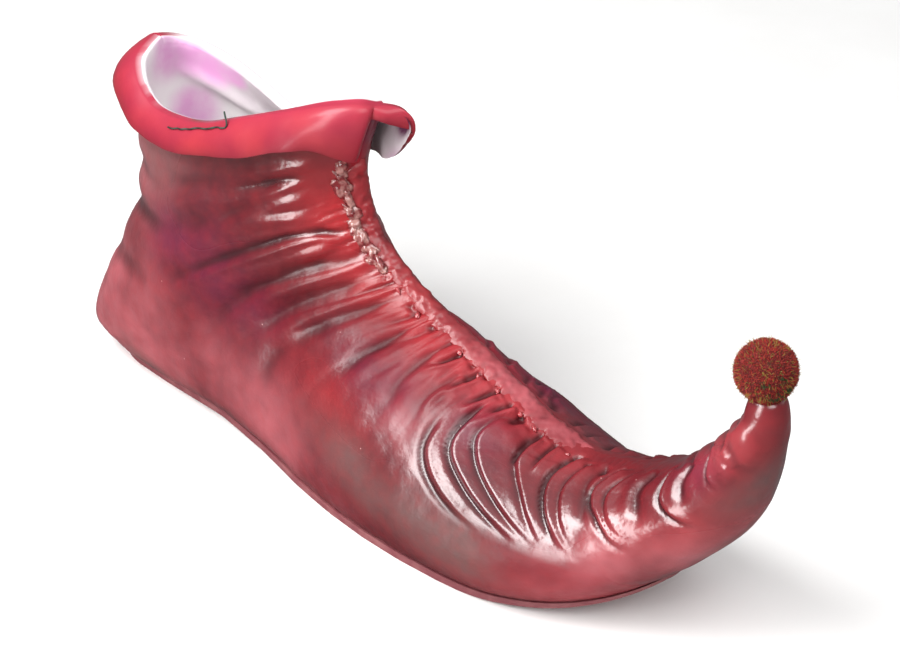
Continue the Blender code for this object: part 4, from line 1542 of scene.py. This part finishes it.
@dataclass
class SeamStrip:
    """Raised band down the front seam, smooth and crowned, with scalloped edges."""

    right: float = 7.6
    left: float = 4.5
    top: float = 1.7
    foot: float = 16.7
    rows: int = 340
    across: int = 26
    thick: float = 1.2
    # Scallops of the edge: depth, spacing, the sway of that, and the ragged edge's size and seed
    scallop: float = 1.3
    pucker: float = 9.0
    sway: float = 1.6
    sway_length: float = 13.0
    ragged: float = 0.5
    ragged_size: float = 3.4
    ragged_seed: float = 1.0
    left_scallop: float = 0.5
    # Ends: how far the band narrows, and the millimetres from its top and foot over which it does
    narrow: float = 0.45
    top_taper: Pair = (-1.0, 5.0)
    foot_taper: Pair = (-14.0, 1.0)
    # Crown over the skin, how square it is, and lumps on it: height, size and seed
    crown: float = 1.4
    crown_power: float = 2.6
    lumps: tuple[Triple, ...] = ((0.7, 5.0, 9.0), (0.5, 2.2, 4.0))
    lump_power: int = 6
    sink: float = 0.35
    # Paint: where it turns dusty, and the shares of bright, dusty and matt at the top and added below
    dusty_start: Pair = (90.0, 150.0)
    dusty_power: int = 4
    bright: Pair = (0.6, -0.25)
    dusty: Pair = (0.1, 0.6)
    matt: Pair = (0.5, 0.4)
    # Painted shade in the hollows between the band's lumps
    hollow_reach: int = 4
    hollow_depth: float = 1.2
    hollow_share: float = 0.6

    def build(self, painted: Material) -> Object:
        """Build the band on the upper's own surface.

        Args:
            painted: Finish of the band.

        Returns:
            The band.
        """
        along = np.linspace(LAST.along_at(self.top), LAST.along_at(self.foot), self.rows)
        half = np.linspace(-1.0, 1.0, self.across + 1)
        beat = np.sin(along / self.pucker * 2 * math.pi + self.sway * np.sin(along / self.sway_length))
        edge_line = np.stack([along, along * 0.0, along * 0.0], axis=1)
        ragged = self.ragged * waves(edge_line, self.ragged_size, self.ragged_seed)
        right = self.right - self.scallop * (np.maximum(beat, 0.0) ** 2 + ragged)
        left = self.left - self.left_scallop * self.scallop * (np.maximum(-beat, 0.0) ** 2 + ragged)
        top_start, top_stop = self.top_taper
        foot_start, foot_stop = self.foot_taper
        taper = smoothstep(along[0] + top_start, along[0] + top_stop, along)
        taper = taper * (1 - smoothstep(along[-1] + foot_start, along[-1] + foot_stop, along))
        kept = self.narrow + (1.0 - self.narrow) * taper
        down = half[None, :] * (np.where(half[None, :] < 0, right[:, None], left[:, None]) * kept[:, None])
        places = LAST.place_at(np.repeat(along[:, None], len(half), 1), down)[1]
        station = LAST.station_at(along)
        base = LAST.surface(station, places)
        normals = LAST.outward(station, places)
        flat = base.reshape(-1, 3)
        lumps = sum(rise * waves(flat, size, seed) for rise, size, seed in self.lumps).reshape(base.shape[:2])
        crown = self.crown * (1.0 - np.abs(half[None, :]) ** self.crown_power) * taper[:, None]
        height = crown + lumps * (1.0 - half[None, :] ** self.lump_power) - self.sink
        points = base + normals * height[:, :, None]
        paint = np.zeros((*down.shape, 4))
        low = smoothstep(*self.dusty_start, along)[:, None]
        middle = 1.0 - half[None, :] ** self.dusty_power
        paint[:, :, Tone.BRIGHT.value] = self.bright[0] + self.bright[1] * low * middle
        paint[:, :, Tone.DUSTY.value] = (self.dusty[0] + self.dusty[1] * low) * middle
        # Painted shade where the band sinks below its neighbours
        sunk = np.clip((soften(height, self.hollow_reach) - height) / self.hollow_depth, 0.0, 1.0)
        matt = self.matt[0] + self.matt[1] * low * middle
        extras = {"paint": paint, "hollow_shade": sunk * self.hollow_share, "matt": matt}
        piece = add_piece("front_seam_band", lay_grid(points, extras), [painted])
        add_wall(piece, self.thick)
        return seat_piece(piece, "red_latex", "seam_strip")


@dataclass(frozen=True)
class LumpKind:
    """One kind of cement lump: how far it strays from its spot, and the limits of its sizes."""

    stray_along: float
    stray_down: float
    length: Pair
    width: Pair
    height: Pair
    slot: int


@dataclass
class SeamCementBits:
    """Lumps of cement squeezed out beside the band: large at the ankle, a few painted beads below."""

    seed: int = 5
    down: float = -8.4
    ankle: Triple = (22.0, 74.0, 2.7)
    ankle_lump: LumpKind = LumpKind(1.0, 1.8, (2.2, 4.2), (1.2, 2.6), (0.8, 1.7), 0)
    beads: tuple[float, ...] = (84.0, 97.0, 119.0, 131.0, 140.0, 153.0, 161.0, 178.0)
    bead: LumpKind = LumpKind(0.0, 0.8, (0.9, 1.7), (0.6, 1.0), (0.5, 0.9), 1)
    # Roughness of a lump: share, how fine it is, and the steps by which each lump gets its own
    coarse: Span = (0.6, 1.4, 3.1, 0.0)
    fine: Span = (0.2, 3.0, 1.7, 5.0)
    paint: Span = (1.0, 0.3, 0.0, 0.0)
    lift: float = 0.2
    spin: float = 0.6
    spin_vary: float = 0.9

    def build(self, cement: Material, painted: Material) -> Object:
        """Scatter squashed lumps along the band's edge.

        Args:
            cement: Finish of the lumps at the ankle.
            painted: Finish of the beads below.

        Returns:
            The lumps as one piece.
        """
        draw = np.random.default_rng(self.seed)
        along, down, sizes, slots = [], [], [], []
        for spots, kind in ((np.arange(*self.ankle), self.ankle_lump), (self.beads, self.bead)):
            for spot in spots:
                stray = kind.stray_along
                along.append(spot + draw.uniform(-stray, stray) if stray else spot)
                down.append(self.down + draw.uniform(-kind.stray_down, kind.stray_down))
                sizes.append([draw.uniform(*limits) for limits in (kind.length, kind.width, kind.height)])
                slots.append(kind.slot)
        points, normals = LAST.spots(np.array(along), np.array(down))
        bm = bmesh.new()
        layer = bm.verts.layers.float_color.new("paint")
        for number, spot in enumerate(points):
            lump = bmesh.ops.create_icosphere(bm, subdivisions=3, radius=1.0)["verts"]
            for vert in lump:
                rough = sum(
                    share * noise.noise(vert.co * scale + Vector((number * step, shift, 0.0)))
                    for share, scale, step, shift in (self.coarse, self.fine)
                )
                vert.co *= 1.0 + rough
                vert[layer] = self.paint
            turn = Vector(normals[number]).to_track_quat("Z", "X").to_matrix().to_4x4()
            spin = Matrix.Rotation(draw.uniform(-self.spin_vary, self.spin_vary) + self.spin, 4, "Z")
            place = Matrix.Translation(Vector((spot - MIDDLE) * MM + normals[number] * self.lift * MM))
            size = Matrix.Diagonal((*sizes[number], 1.0))
            bmesh.ops.transform(bm, matrix=place @ turn @ spin @ Matrix.Scale(MM, 4) @ size, verts=lump)
            for face in {face for vert in lump for face in vert.link_faces}:
                face.material_index = slots[number]
        piece = add_piece("seam_cement", bm, [cement, painted])
        return seat_piece(piece, "red_latex")


@dataclass
class Cuff:
    """Turned-down cuff: a cap over the rim that drops as a flap, notched at the front."""

    around: int = 260
    rows: int = 18
    thick: float = 2.0
    gap: float = 0.3
    wall: float = 2.0
    row_drop: float = 16.0
    front_close: float = 1.7
    round_width: float = 0.7
    # Cap from the inside over the rim: millimetres out, and shares of the cap's rise
    cap: tuple[Pair, ...] = ((-0.2, -0.7), (0.0, 0.6), (0.35, 0.9), (1.25, 1.0), (1.45, 1.0))
    # Unevenness: height, and size and seed for the flare, the drop and the dents
    uneven: float = 0.8
    flare_wave: Pair = (14.0, 2.0)
    drop_wave: Pair = (17.0, 7.0)
    dents: float = 0.5
    dent_wave: Pair = (9.0, 6.0)
    # Wing beside the notch: the way it stands out, and where round the rim it begins and ends
    wing_way: Triple = (0.87, 0.5, 0.0)
    wing_start: Pair = (-0.026, -0.020)
    wing_end: Pair = (0.03, 0.12)
    # Far side of the rim, thinner and bare: where it begins and ends, and how far the bare edge reaches
    far_thin: float = 1.1
    far_start: Pair = (0.02, 0.12)
    far_end: Pair = (0.90, 0.99)
    far_bare: float = 0.5
    # Worn edge: where it ends, and the torn part's mean, variation, size, seed, end and share on the rim
    cut_end: Pair = (-0.40, -0.33)
    torn: Span = (0.3, 2.0, 6.0, 12.0)
    torn_end: Pair = (-0.80, -0.66)
    torn_rim: float = 0.4
    # Greenish trace by the thread: its mean, variation, size, seed, start, end and share on the rim
    trace: Span = (0.6, 1.6, 6.0, 15.0)
    trace_start: Pair = (-0.68, -0.60)
    trace_end: Pair = (-0.42, -0.34)
    trace_rim: float = 0.6
    # Painted shade with a purple tint on the underside by the notch: start, end, share at the rim and its
    # loss, and the size and place of the slit's painted shadow
    underside_shade_start: Pair = (-0.08, -0.04)
    underside_shade_end: Pair = (0.10, 0.20)
    underside_shade_share: Pair = (0.95, 0.4)
    slit_shadow: Triple = (0.014, 0.5, 0.2)
    # Painted shade toward the hem, and a pinker tint with painted light on the fold's top: share and power
    shade: tuple[float, int] = (0.6, 5)
    blush_and_light: Pair = (0.8, 1.2)

    def rim_ways(self, around: Array) -> tuple[Array, Array, Array]:
        """Find the rim, and the ways along it and out from it.

        Args:
            around: Places round the rim.

        Returns:
            Points of the rim, unit ways along it, and unit ways out, turned forward at the wing.
        """
        step = LAST.step_round
        rim, before, after = (
            LAST.surface(np.zeros(1), np.clip(around + shift, -1.0, 1.0))[0] for shift in (0.0, -step, step)
        )
        run = after - before
        out = np.stack([run[:, 1], -run[:, 0], np.zeros(len(run))], axis=1)
        out[0] = out[-1] = (-1.0, 0.0, 0.0)
        out /= np.linalg.norm(out, axis=1, keepdims=True)
        wing = smoothstep(*self.wing_start, around) * (1.0 - smoothstep(*self.wing_end, around))
        out += (np.array(self.wing_way) - out) * wing[:, None]
        out /= np.linalg.norm(out, axis=1, keepdims=True)
        return rim, run / np.linalg.norm(run, axis=1, keepdims=True), out

    def patches(self, rim: Array, limits: Span) -> Array:
        """Uneven shares round the rim.

        Args:
            rim: Points of the rim in millimetres.
            limits: Mean, variation, size and seed.

        Returns:
            Shares from 0 to 1.
        """
        mean, vary, size, seed = limits
        return np.clip(mean + vary * waves(rim, size, seed), 0.0, 1.0)

    def build(self, red: Material, raw: Material) -> Object:
        """Build the cuff over the rim.

        Args:
            red: Finish of the outside.
            raw: Finish of the underside and of the cut edges.

        Returns:
            The cuff.
        """
        spread = np.linspace(-1.0, 1.0, self.around + 1)
        around = np.sign(spread) * np.abs(spread) ** self.front_close
        rim, run, out = self.rim_ways(around)
        flare, drop, lean, curl = read_round(CUFF_FLAP, around).T
        flare = flare + self.uneven * waves(rim, *self.flare_wave)
        drop = drop + self.uneven * waves(rim, *self.drop_wave)
        far = smoothstep(*self.far_start, around) * (1.0 - smoothstep(*self.far_end, around))
        lift = self.thick + self.gap - self.far_thin * far
        up = np.array([0.0, 0.0, 1.0]) - run[:, 2:] * run
        up *= (lift / np.linalg.norm(up, axis=1))[:, None]
        facing = LAST.outward(np.zeros(1), around)[0]
        inside = rim - facing * self.wall
        rows = [inside + facing * over + up * rise for over, rise in self.cap] + [rim + up]
        whole = np.ones(len(around))
        none = whole * 0.0
        cut = np.maximum(1.0 - smoothstep(*self.cut_end, around), far)
        torn = self.patches(rim, self.torn) * (1.0 - smoothstep(*self.torn_end, around))
        trace = smoothstep(*self.trace_start, around) * (1.0 - smoothstep(*self.trace_end, around))
        trace *= self.patches(rim, self.trace)
        bare = [whole, whole, whole, cut, np.maximum(torn, far), np.maximum(self.torn_rim * torn, far)]
        moss = [none, none, none, none, trace, trace * self.trace_rim]
        # Painted light and a pinker tint on the fold's top, and painted shade toward the hem
        blush_and_light = [whole] * len(rows)
        shade = [none] * len(rows)
        shade_and_purple = [none] * len(rows)
        # Painted shade with a purple tint under the wing, and a painted shadow along the slit
        shaded_and_purple = smoothstep(*self.underside_shade_start, around) * (1.0 - smoothstep(*self.underside_shade_end, around))
        slit_width, slit_place, slit_reach = self.slit_shadow
        slit_shadow = np.exp(-((around / slit_width) ** 2))
        for turn in np.linspace(0.0, math.pi / 2, self.rows)[1:]:
            share = turn / (math.pi / 2)
            below = drop * (1.0 - math.cos(turn)) / self.row_drop
            base = LAST.surface(below, around[:, None])[:, 0]
            over = lift + flare * math.sin(turn) ** lean * (1.0 - curl * share**4)
            dent = self.dents * math.sin(turn) * waves(base, *self.dent_wave)
            rows.append(base + out * (over + dent)[:, None] + up * math.cos(turn) ** 2)
            bare.append(far * max(0.0, 1.0 - turn / self.far_bare))
            shade.append(whole * share ** self.shade[1] * self.shade[0])
            blush_and_light.append(whole * self.blush_and_light[0] * (1.0 - share) ** self.blush_and_light[1])
            moss.append(none)
            here = math.exp(-(((share - slit_place) / slit_reach) ** 2))
            most, loss = self.underside_shade_share
            shade_and_purple.append(np.clip(shaded_and_purple * (most - loss * share) + slit_shadow * here, 0.0, 1.0))
        marks = {"hollow_shade": shade, "bare": bare, "shade_and_purple": shade_and_purple, "blush_and_light": blush_and_light, "moss": moss}
        bm = lay_grid(np.array(rows), {name: np.array(values) for name, values in marks.items()})
        bm.faces.ensure_lookup_table()
        # The first two rows of the cap lie inside the shoe and are bare
        for face in bm.faces[:2 * self.around]:
            face.material_index = 1
        piece = add_piece("cuff_flap", bm, [red, raw])
        add_wall(piece, self.thick, 1)
        add_round(piece, self.round_width)
        return seat_piece(piece, "cuff_latex", "cuff")


@dataclass
class FootPlate:
    """Closed plate with the sole's outline that follows the upper's lower edge."""

    name: str
    node: str
    slot: str
    inset: float
    toe_inset: float
    top_offset: float
    thick_heel: float
    thick_toe: float
    rows: int = 150
    across: int = 16
    round_width: float = 0.5

    def build(self, finish: Material) -> Object:
        """Build the plate and round its edge.

        Args:
            finish: Finish of the plate.

        Returns:
            The plate.
        """
        line_x, line_z = LAST.tread_line()
        turn = np.linspace(0.0, math.pi, self.rows + 1)
        start = LAST.heel_end + self.inset
        end = LAST.toe_end - self.toe_inset
        x = start + (end - start) * (1.0 - np.cos(turn)) / 2
        outline_x = LAST.heel_end + (x - start) / (end - start) * (LAST.toe_end - LAST.heel_end)
        right, left = (np.maximum(LAST.sole_half(outline_x, side) - self.inset, 0.0) for side in Side)
        right[0] = right[-1] = left[0] = left[-1] = 0.0
        share = np.linspace(0.0, 1.0, self.across + 1)
        y = -right[:, None] + (right + left)[:, None] * share[None, :]
        top = np.interp(x, line_x, line_z) + self.top_offset
        depth = np.interp(x, (LAST.toe_end - LAST.toe_round, LAST.toe_end), (self.thick_heel, self.thick_toe))
        loop_y = np.hstack([y, y[:, ::-1], y[:, :1]])
        low = np.repeat((top - depth)[:, None], self.across + 1, 1)
        high = np.repeat(top[:, None], self.across + 1, 1)
        loop_z = np.hstack([high, low, top[:, None]])
        points = np.stack([np.repeat(x[:, None], loop_y.shape[1], 1), loop_y, loop_z], axis=2)
        bm = lay_grid(points)
        bmesh.ops.holes_fill(bm, edges=bm.edges)
        piece = add_piece(self.name, bm, [finish])
        add_round(piece, self.round_width)
        return seat_piece(piece, self.slot, self.node)


@dataclass
class Pompom:
    """Ball of short cut pile on the tip of the toe."""

    center: Triple = (332.5, 0.0, 126.6)
    core: float = 10.6
    core_rough: Pair = (0.03, 0.5)
    # The core takes the darkest red: painted shade deep in the pile
    core_shade_tint: float = 0.05
    pile: float = 1.0
    fibre: float = 0.25
    fibre_taper: float = 0.35
    root: float = 0.5
    count: int = 11000
    lean: float = 0.75
    # Lengths in shares of the pile, and tints, of the cut fibres and of the stray ones
    cut_length: Pair = (0.6, 1.1)
    cut_tint: Pair = (0.0, 0.8)
    stray_share: float = 0.08
    stray_length: Pair = (1.4, 2.1)
    stray_tint: Pair = (0.84, 0.96)
    stray_thin: float = 0.5
    # Olive patch: the way it faces, how fine and how wide it is, its least and its soft edge
    moss_way: Triple = (0.92, -0.30, -0.25)
    moss_fine: float = 4.5
    moss_wide: float = 1.4
    moss_least: float = 1.15
    moss_edge: Pair = (0.0, 0.5)
    seed: int = 21

    def fibre_shape(self) -> Mesh:
        """Make one fibre, a cone one long that stands on its root.

        Returns:
            Its mesh.
        """
        spike = bmesh.new()
        tip = self.fibre * self.fibre_taper
        bmesh.ops.create_cone(spike, segments=3, cap_ends=False, radius1=self.fibre, radius2=tip, depth=1.0)
        bmesh.ops.translate(spike, verts=spike.verts, vec=(0.0, 0.0, 0.5))
        mesh = bpy.data.meshes.new("fibre")
        spike.to_mesh(mesh)
        spike.free()
        return mesh

    def build(self, pile: Material) -> Object:
        """Stand fibres all over a rough core.

        Args:
            pile: Finish of the fibres.

        Returns:
            The pompom.
        """
        draw = np.random.default_rng(self.seed)
        bm = bmesh.new()
        bmesh.ops.create_icosphere(bm, subdivisions=4, radius=self.core)
        rough, fine = self.core_rough
        for vert in bm.verts:
            vert.co *= 1.0 + rough * noise.noise(vert.co * fine)
        core_count = len(bm.verts)
        template = self.fibre_shape()
        shape = np.array([vert.co for vert in template.vertices])
        tints = []
        golden = math.pi * (3 - math.sqrt(5))
        for number in range(self.count):
            z = 1.0 - 2.0 * (number + 0.5) / self.count
            ring = math.sqrt(1.0 - z * z)
            away = Vector((ring * math.cos(golden * number), ring * math.sin(golden * number), z))
            lean = away + Vector(draw.normal(0.0, self.lean, 3))
            turn = np.array(lean.to_track_quat("Z", "X").to_matrix())
            stray = draw.uniform() < self.stray_share
            tall = self.pile * draw.uniform(*(self.stray_length if stray else self.cut_length)) + self.root
            thin = self.stray_thin if stray else 1.0
            spots = (shape * (thin, thin, tall)) @ turn.T + np.array(away) * (self.core - self.root)
            template.vertices.foreach_set("co", spots.astype(np.float32).ravel())
            bm.from_mesh(template)
            clump = noise.noise(away * self.moss_fine)
            clump += self.moss_wide * away.dot(Vector(self.moss_way)) - self.moss_least
            tint = draw.uniform(*(self.stray_tint if stray else self.cut_tint))
            tints.append(1.0 if clump > draw.uniform(*self.moss_edge) else tint)
        bpy.data.meshes.remove(template)
        bmesh.ops.scale(bm, vec=(MM, MM, MM), verts=bm.verts)
        bmesh.ops.translate(bm, verts=bm.verts, vec=(np.array(self.center) - MIDDLE) * MM)
        piece = add_piece("pompom_pile", bm, [pile])
        tint = piece.data.attributes.new("tint", "FLOAT", "POINT")
        values = np.concatenate([np.full(core_count, self.core_shade_tint), np.repeat(tints, len(shape))])
        tint.data.foreach_set("value", values.astype(np.float32))
        return seat_piece(piece, "pompom_pile", "pompom")


@dataclass
class TackingThread:
    """Loose end of dark thread tacked along the cuff, with a tail that stands up at the rim."""

    # Route over the cuff in millimetres in the frame, read off the photo
    route: tuple[Triple, ...] = (
        (-109.2, -28.3, 128.4),
        (-107.3, -28.5, 128.6),
        (-105.5, -28.4, 129.1),
        (-103.7, -28.1, 129.8),
        (-101.2, -28.1, 130.2),
        (-99.3, -27.6, 131.0),
        (-96.8, -27.5, 131.7),
        (-94.6, -26.9, 132.6),
        (-92.3, -26.6, 133.6),
        (-88.6, -26.7, 134.7),
        (-85.3, -26.5, 136.0),
        (-81.8, -25.9, 137.8),
        (-79.6, -26.2, 138.4),
        (-78.0, -26.1, 138.9),
        (-77.2, -25.8, 139.5),
        (-77.0, -25.3, 140.4),
        (-77.5, -24.8, 141.1),
        (-78.6, -24.1, 141.9),
        (-79.9, -23.4, 142.9),
        (-81.1, -22.7, 143.8),
    )
    diameter: float = 0.7
    clear: float = 0.25
    waver: Pair = (0.12, 2.1)
    tail: int = 6

    def build(self, thread: Material, cuff: Object) -> Object:
        """Lay the thread on the cuff.

        Args:
            thread: Finish of the thread.
            cuff: Cuff that it lies on.

        Returns:
            The thread.
        """
        tree = BVHTree.FromObject(cuff, bpy.context.evaluated_depsgraph_get())
        points = []
        rise, beat = self.waver
        for number, spot in enumerate(self.route):
            here = Vector(spot) * MM
            if number < len(self.route) - self.tail:
                near, normal, _, _ = tree.find_nearest(here)
                lift = self.clear + self.diameter / 2 + rise * math.sin(number * beat)
                here = near + normal * lift * MM
            points.append(here)
        curve = bpy.data.curves.new("tacking_thread", "CURVE")
        curve.dimensions = "3D"
        curve.bevel_depth = self.diameter / 2 * MM
        curve.bevel_resolution = 2
        curve.use_fill_caps = True
        curve.resolution_u = 6
        spline = curve.splines.new("BEZIER")
        spline.bezier_points.add(len(points) - 1)
        for knot, spot in zip(spline.bezier_points, points):
            knot.co = spot
            knot.handle_left_type = knot.handle_right_type = "AUTO"
        curve.materials.append(thread)
        piece = bpy.data.objects.new("tacking_thread", curve)
        bpy.context.scene.collection.objects.link(piece)
        seat_piece(piece, "cuff_latex")
        return piece


@dataclass
class Studio:
    """Camera at the photo's angle, soft lights and a pale floor."""

    eye: Triple = (0.612, -0.588, 0.608)
    aim: Triple = (0.011, 0.009, 0.074)
    image_width: float = 900.0
    focal_pixels: float = 2585.0
    sensor: float = 36.0
    clip: Pair = (0.05, 50.0)
    floor_size: float = 6.0
    sky: str = "fbfbff"
    sky_strength: float = 0.20
    middle: Triple = (0.0, 0.0, 0.07)
    # Each light: name, azimuth and elevation in degrees, distance, width, height, watts
    lamps: tuple[tuple[str, float, float, float, float, float, float], ...] = (
        ("window", -22.0, 50.0, 1.2, 0.70, 0.62, 16.5),
        ("low_window", -3.0, 19.0, 1.2, 0.42, 0.80, 9.5),
        ("front_fill", 66.0, 46.0, 1.3, 0.80, 0.80, 8.5),
        ("overhead", -60.0, 84.0, 1.6, 2.6, 2.6, 11.0),
        ("far_card", 150.0, 30.0, 1.5, 1.2, 0.8, 2.0),
    )

    def camera(self) -> Object:
        """Set the camera where the photo was taken from, turned to the one shoe.

        Returns:
            The camera.
        """
        data = bpy.data.cameras.new("camera")
        data.sensor_width = self.sensor
        data.lens = self.focal_pixels / self.image_width * self.sensor
        data.clip_start, data.clip_end = self.clip
        camera = bpy.data.objects.new("camera", data)
        bpy.context.scene.collection.objects.link(camera)
        camera.location = self.eye
        camera.rotation_euler = (Vector(self.aim) - Vector(self.eye)).to_track_quat("-Z", "Y").to_euler()
        bpy.context.scene.camera = camera
        return camera

    def light(self) -> None:
        """Hang soft lights round the shoe and a pale sky behind them."""
        for name, azimuth, elevation, distance, width, height, watts in self.lamps:
            turn = math.radians(azimuth)
            rise = math.radians(elevation)
            away = Vector((math.sin(turn) * math.cos(rise), -math.cos(turn) * math.cos(rise), math.sin(rise)))
            data = bpy.data.lights.new(name, "AREA")
            data.shape = "RECTANGLE"
            data.size = width
            data.size_y = height
            data.energy = watts
            lamp = bpy.data.objects.new(name, data)
            bpy.context.scene.collection.objects.link(lamp)
            lamp.location = Vector(self.middle) + away * distance
            lamp.rotation_euler = (-away).to_track_quat("-Z", "Y").to_euler()
        world = bpy.data.worlds.new("pale_room")
        world.use_nodes = True
        sky = world.node_tree.nodes["Background"]
        sky.inputs["Color"].default_value = linear(self.sky)
        sky.inputs["Strength"].default_value = self.sky_strength
        bpy.context.scene.world = world
        bpy.context.scene.view_settings.view_transform = "Standard"

    def floor(self, finish: Material) -> Object:
        """Lay the floor under the sole.

        Args:
            finish: Finish of the floor.

        Returns:
            The floor.
        """
        bm = bmesh.new()
        bmesh.ops.create_grid(bm, x_segments=8, y_segments=8, size=self.floor_size / 2)
        floor = add_piece("floor", bm, [finish])
        # The wet gloss mirrors the lights and the room alone, and not the floor
        floor.visible_glossy = False
        return floor


def main() -> None:
    """Build the studio, then the shoe piece by piece."""
    logging.basicConfig(level=logging.INFO, format="%(name)s: %(message)s")
    studio = Studio()
    studio.camera()
    studio.light()
    studio.floor(PaperFloor("floor_paper").material())
    painted = PaintedLatex("painted_latex").material()
    raw = RawLatex("bare_latex").material()
    cuff = Cuff().build(CuffLatex("crimson_latex").material(), raw)
    TackingThread().build(SewingThread("waxed_thread").material(), cuff)
    upper = Upper()
    upper.build(painted)
    upper.line(raw)
    SeamStrip().build(painted)
    SeamCementBits().build(SeamCement("latex_cement").material(), painted)
    sole = FootPlate(
        "sole_plate", "sole", "sole_latex",
        inset=-0.8, toe_inset=-0.5, top_offset=-0.3, thick_heel=3.2, thick_toe=1.4,
    )
    sole.build(SoleLatex("sole_latex").material())
    insole = FootPlate(
        "insole_bed", "insole", "raw_latex",
        inset=3.6, toe_inset=22.0, top_offset=2.0, thick_heel=2.0, thick_toe=2.0,
    )
    insole.build(raw)
    Pompom().build(CutPile("cut_pile").material())


if __name__ == "__main__":
    main()
